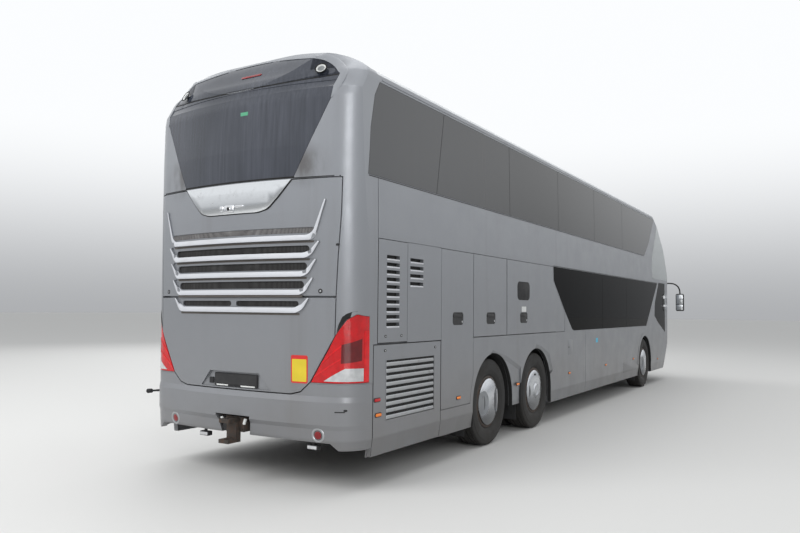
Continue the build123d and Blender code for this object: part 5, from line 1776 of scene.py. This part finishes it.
def lens_outline(centre, reach, side, bulge_in, bulge_out, points=9):
    """Lens between two arcs beside a wheel's middle: places along X and heights."""
    rows = [LENS_HALF * (2 * n / points - 1) for n in range(points + 1)]
    inner = [(side * (reach - bulge_in * (1 - (z / LENS_HALF) ** 2)), z) for z in rows]
    outer = [(side * (reach + bulge_out * (1 - (z / LENS_HALF) ** 2)), z) for z in rows[-2:0:-1]]
    return [(centre.x + u, HUB_Z + v) for u, v in inner + outer]


class WheelTrims(bpy.types.Operator):
    """Polished trims with their dished lens shapes, and worn rim edges"""

    bl_idname = "coach.wheel_trims"
    bl_label = "Wheel trims"

    def execute(self, context):
        for axle, body, *_ in WHEELS:
            for side, hand in SIDES:
                wheel = f"{body}_{hand}"
                centre = Vector((along(AXLES[axle]), side * WHEEL_Y, HUB_Z))
                out = Vector((0, side, 0))
                bm = bmesh.new()
                if axle == "drive":
                    add_turned(bm, TWIN_TRIM, centre, out, 72)
                    trim = link_mesh(bm, f"{axle}_trim_{hand}", "trim_metal", wheel, smooth=40)
                    ground = remember(trim)
                    lens = bmesh.new()
                    for end in (-1, 1):
                        outline = lens_outline(centre, 0.205, end, 0.020, 0.012)
                        add_slab(lens, outline, hand, ground, out=0.0012, depth=0.003, step=0.03)
                    x = centre.x
                    notch = rectangle(x - 0.040, x + 0.030, HUB_Z + 0.200, HUB_Z + 0.224)
                    add_slab(lens, notch, hand, ground, out=0.0015, depth=0.003, corner=0.006)
                    link_mesh(lens, f"{axle}_trim_openings_{hand}", "black", wheel)
                else:
                    add_turned(bm, DOME, centre, out, 96)
                    for end in (-1, 1):
                        tilt = Vector((end * 0.215, side * 0.977, 0))
                        spot = centre + Vector((end * 0.150, side * 0.1585, 0))
                        cut = cut_at(bm, spot, tilt, clear=True)
                        edges = [g for g in cut["geom_cut"] if isinstance(g, bmesh.types.BMEdge)]
                        filled = bmesh.ops.contextual_create(bm, geom=edges)["faces"]
                        bmesh.ops.inset_region(
                            bm, faces=filled, thickness=0.007, depth=-0.0035, use_even_offset=True
                        )
                        for f in filled:
                            f.material_index = 1
                    trim = link_mesh(
                        bm, f"{axle}_trim_{hand}", ("trim_metal", "trim_dull"), wheel, smooth=40
                    )
                    lens = bmesh.new()
                    for end in (-1, 1):
                        outline = lens_outline(centre, 0.160, end, 0.016, -0.004)
                        add_slab(
                            lens, outline, hand, remember(trim), out=0.0010, depth=0.003, step=0.03
                        )
                    link_mesh(lens, f"{axle}_trim_openings_{hand}", "black", wheel)
                edge = bmesh.new()
                add_turned(edge, RIM_EDGE, centre, out, 72)
                link_mesh(edge, f"{axle}_rim_edge_{hand}", "rust", wheel)
        return {"FINISHED"}


# Rows of seats: deck, places of the rows, side, nearest and farthest place across, floor
UPPER_ROWS = [1.0 + 0.8 * n for n in range(13)]
SEAT_ROWS = [
    ("upper", UPPER_ROWS, -1, 0.290, 1.170, 2.2703),
    ("upper", [x for x in UPPER_ROWS if not 6.5 < x < 8.8], 1, 0.290, 1.170, 2.2703),
    ("lower", [5.5, 6.3, 7.1, 7.9, 8.7, 9.5], -1, 0.290, 1.150, 0.4003),
    ("lower", [8.8, 9.6], 1, 0.290, 1.150, 0.4003),
    ("driver", [11.9], -1, 0.480, 0.980, 0.6003),
]
# Legs of a row, across from its middle, by its number of seats
LEGS = {1: (-0.15, 0.15), 2: (-0.30, 0.30)}
# Turns of a cushion and of a leaning back
CUSHION_TURN = -0.03
BACK_TURN = -1.455


def pad(bm, width, length, thick, place, turn, channels, crown):
    """Crowned pad with sewn channels, laid out flat and then turned into its place."""
    part = bmesh.new()
    bmesh.ops.create_grid(part, x_segments=channels * 4, y_segments=10, size=0.5)
    thicken(part, (0, 0, 1))
    for v in part.verts:
        u, w = v.co.x * 2, v.co.y * 2
        full = (1 - abs(u) ** 4) * (1 - abs(w) ** 4)
        waist = 0.93 + 0.07 * full ** 0.5
        groove = abs(math.sin(math.pi * channels * (u + 1) / 2)) ** 0.5 if channels > 1 else 1.0
        height = thick * (0.55 + 0.45 * full ** 0.4) - (1 - groove) * 0.012 * full ** 0.3
        if v.co.z < 0.5:
            height = thick * 0.12 * (1 - full ** 0.4)
        else:
            height += crown * full
        v.co = Vector((v.co.x * length * waist, v.co.y * width * waist, height))
    bmesh.ops.recalc_face_normals(part, faces=part.faces)
    bmesh.ops.rotate(part, verts=part.verts, cent=(0, 0, 0), matrix=Matrix.Rotation(turn, 3, "Y"))
    bmesh.ops.translate(part, verts=part.verts, vec=place)
    move_into(bm, part)


class Seats(bpy.types.Operator):
    """Seat cushions, backs with head rolls, arm rests and pedestals on both decks"""

    bl_idname = "coach.seats"
    bl_label = "Seats"

    def execute(self, context):
        frames = {"upper": bmesh.new(), "lower": bmesh.new()}
        pieces = {"upper": [], "lower": []}
        for deck, rows, side, near, far, floor in SEAT_ROWS:
            share = 1 if deck == "driver" else 2
            level = "lower" if deck == "driver" else deck
            width = (far - near) / share
            hand = "right" if side < 0 else "left"
            for n, x in enumerate(rows):
                cushions, backs = bmesh.new(), bmesh.new()
                for i in range(share):
                    y = side * (near + width * (i + 0.5))
                    pad(
                        cushions, width - 0.05, 0.40, 0.085, (along(x + 0.285), y, floor + 0.350),
                        CUSHION_TURN, 3, 0.012,
                    )
                    pad(
                        backs, width - 0.05, 0.66, 0.075, (along(x + 0.015), y, floor + 0.700),
                        BACK_TURN, 1, 0.010,
                    )
                    pad(
                        backs, width - 0.14, 0.15, 0.050, (along(x + 0.028), y, floor + 0.985),
                        BACK_TURN, 1, 0.008,
                    )
                    add_box(frames[level], (along(x + 0.13), y - width / 2 + 0.03, floor + 0.310),
                            (along(x + 0.45), y + width / 2 - 0.03, floor + 0.345), 0.008)
                tag = f"{deck}_{hand}_{n + 1:02d}"
                for bm, kind in ((cushions, "cushions"), (backs, "backs")):
                    piece = link_mesh(bm, f"seat_{kind}_{tag}", "cloth", "coach", smooth=60)
                    smooth = piece.modifiers.new("smooth", "SUBSURF")
                    smooth.levels = smooth.render_levels = 1
                    pieces[level].append(piece)
                middle = side * (near + far) / 2
                for spread in LEGS[share]:
                    add_box(frames[level], (along(x + 0.135), middle + spread - 0.02, floor),
                            (along(x + 0.175), middle + spread + 0.02, floor + 0.315), 0.008)
                    add_box(frames[level], (along(x + 0.125), middle + spread - 0.03, floor),
                            (along(x + 0.40), middle + spread + 0.03, floor + 0.018), 0.005)
                for y in (side * (near + 0.012), side * (far - 0.012)):
                    add_box(frames[level], (along(x + 0.05), y - 0.011, floor + 0.555),
                            (along(x + 0.36), y + 0.011, floor + 0.590), 0.010, 3)
                    add_box(frames[level], (along(x + 0.06), y - 0.009, floor + 0.330),
                            (along(x + 0.10), y + 0.009, floor + 0.570), 0.006)
        for level, node in (("upper", "upper_seats"), ("lower", "lower_seats")):
            piece = link_mesh(frames[level], f"{level}_seat_frames", "cabin", "coach")
            for one in [piece] + pieces[level]:
                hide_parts(node)
        return {"FINISHED"}


# Lamps of the stage: place, size, power, whether polished things mirror them
LAMPS = {
    "key": ((-17, 5, 11), 9, 1500, False),
    "corner": ((-15.5, -12, 6.5), 6, 620, True),
    "far": ((8, 15, 12), 10, 900, True),
    "near": ((10, -16, 9), 10, 180, False),
    "over": ((0, -1, 17), 14, 1000, True),
}
LAMP_TARGET = Vector((0, 0, 1.6))
# Sky: colours at the horizon and above it, heights of both, and how much of it lights dull things
HORIZON = (0.42, 0.43, 0.445, 1.0)
SKY = (0.97, 0.985, 1.0, 1.0)
SKY_RISE = (-0.02, 0.24)
SKY_SHARE = 0.62
# The photograph's camera: place along and across, yaw, pitch and roll, and lens in millimetres
CAMERA_ALONG = -4.799
CAMERA_ACROSS = -4.796
CAMERA_TURN = (31.58, 3.403, 0.573)
CAMERA_LENS = 32.05


def add_floor(scene):
    bm = bmesh.new()
    bmesh.ops.create_grid(bm, x_segments=2, y_segments=2, size=150)
    mesh = bpy.data.meshes.new("stage_floor")
    bm.to_mesh(mesh)
    bm.free()
    floor = bpy.data.objects.new("stage_floor", mesh)
    scene.collection.objects.link(floor)
    f = Finish("stage_floor", (0.62, 0.62, 0.61), rough=0.75)
    f.bump(f.noise(30, detail=4), strength=0.05, depth=0.002)
    mesh.materials.append(f.material)


def add_sky(scene):
    """Sky that the camera, glass and polished things see whole, and dull things in part."""
    world = bpy.data.worlds.new("stage_world")
    world.use_nodes = True
    tree = world.node_tree
    background = tree.nodes["Background"]
    path = add_node(tree, "LightPath")
    whole = add_node(tree, "Math", operation="MAXIMUM")
    shiny = add_node(tree, "Math", operation="MAXIMUM")
    tree.links.new(path.outputs["Is Camera Ray"], whole.inputs[0])
    tree.links.new(path.outputs["Is Transmission Ray"], shiny.inputs[0])
    tree.links.new(path.outputs["Is Glossy Ray"], shiny.inputs[1])
    tree.links.new(shiny.outputs[0], whole.inputs[1])
    strength = add_node(tree, "Mix", data_type="FLOAT")
    strength.inputs[2].default_value = SKY_SHARE
    strength.inputs[3].default_value = 1.0
    tree.links.new(whole.outputs[0], strength.inputs[0])
    tree.links.new(strength.outputs[0], background.inputs["Strength"])
    place = add_node(tree, "TexCoord")
    parts = add_node(tree, "SeparateXYZ")
    tree.links.new(place.outputs["Generated"], parts.inputs[0])
    rise = add_node(tree, "MapRange", interpolation_type="SMOOTHSTEP")
    rise.inputs["From Min"].default_value, rise.inputs["From Max"].default_value = SKY_RISE
    tree.links.new(parts.outputs["Z"], rise.inputs["Value"])
    shade = add_node(tree, "ValToRGB")
    for element, colour in zip(shade.color_ramp.elements, (HORIZON, SKY)):
        element.color = colour
    tree.links.new(rise.outputs["Result"], shade.inputs["Fac"])
    tree.links.new(shade.outputs["Color"], background.inputs["Color"])
    scene.world = world


def add_lamps(scene):
    for name, (place, size, power, mirrored_in) in LAMPS.items():
        light = bpy.data.lights.new(name, "AREA")
        light.size = size
        light.energy = power
        lamp = bpy.data.objects.new(name, light)
        lamp.location = place
        lamp.rotation_euler = (LAMP_TARGET - Vector(place)).to_track_quat("-Z", "Y").to_euler()
        lamp.visible_glossy = mirrored_in
        scene.collection.objects.link(lamp)


def add_camera(scene):
    camera = bpy.data.cameras.new("camera")
    camera.sensor_width = 36
    camera.lens = CAMERA_LENS
    camera.clip_end = 500
    eye = bpy.data.objects.new("camera", camera)
    scene.collection.objects.link(eye)
    yaw, pitch, roll = (math.radians(a) for a in CAMERA_TURN)
    ahead = Vector(
        (math.cos(yaw) * math.cos(pitch), math.sin(yaw) * math.cos(pitch), math.sin(pitch))
    )
    right = ahead.cross(Vector((0, 0, 1))).normalized()
    up = right.cross(ahead)
    turned_right = right * math.cos(roll) + up * math.sin(roll)
    turned_up = up * math.cos(roll) - right * math.sin(roll)
    turn = Matrix((turned_right, turned_up, -ahead)).transposed()
    place = Vector((along(CAMERA_ALONG), CAMERA_ACROSS, scene.coach_sizes.camera_height))
    eye.matrix_world = Matrix.Translation(place) @ turn.to_4x4()
    scene.camera = eye


class SetStage(bpy.types.Operator):
    """Sets the pale floor, the soft light and the camera"""

    bl_idname = "coach.set_stage"
    bl_label = "Stage"

    def execute(self, context):
        scene = context.scene
        add_floor(scene)
        add_sky(scene)
        add_lamps(scene)
        add_camera(scene)
        scene.view_settings.view_transform = "Standard"
        return {"FINISHED"}


class CoachPanel(bpy.types.Panel):
    bl_label = "Double-deck coach"
    bl_idname = "VIEW3D_PT_coach"
    bl_space_type = "VIEW_3D"
    bl_region_type = "UI"
    bl_category = "Coach"

    def draw(self, context):
        layout = self.layout
        for group in (context.scene.coach_colours, context.scene.coach_sizes):
            for name in group.bl_rna.properties.keys():
                if name not in ("rna_type", "name"):
                    layout.prop(group, name)
        for operator in OPERATORS:
            layout.operator(operator.bl_idname)


OPERATORS = (
    CoatNodes, Crown, RearTrim, GrilleBars, LowerLid, BumperFittings, TailLamps, SideGrilles,
    SideFittings, SideLines, ArchLiners, Mirrors, Tyres, WheelTrims, Seats, SetStage,
)
CLASSES = (CoachColours, CoachSizes, *OPERATORS, CoachPanel)


def register():
    for one in CLASSES:
        bpy.utils.register_class(one)
    bpy.types.Scene.coach_colours = bpy.props.PointerProperty(type=CoachColours)
    bpy.types.Scene.coach_sizes = bpy.props.PointerProperty(type=CoachSizes)


def unregister():
    del bpy.types.Scene.coach_sizes
    del bpy.types.Scene.coach_colours
    for one in reversed(CLASSES):
        bpy.utils.unregister_class(one)


def main():
    register()
    for operator in OPERATORS:
        module, name = operator.bl_idname.split(".")
        getattr(getattr(bpy.ops, module), name)()


if __name__ == "__main__":
    main()
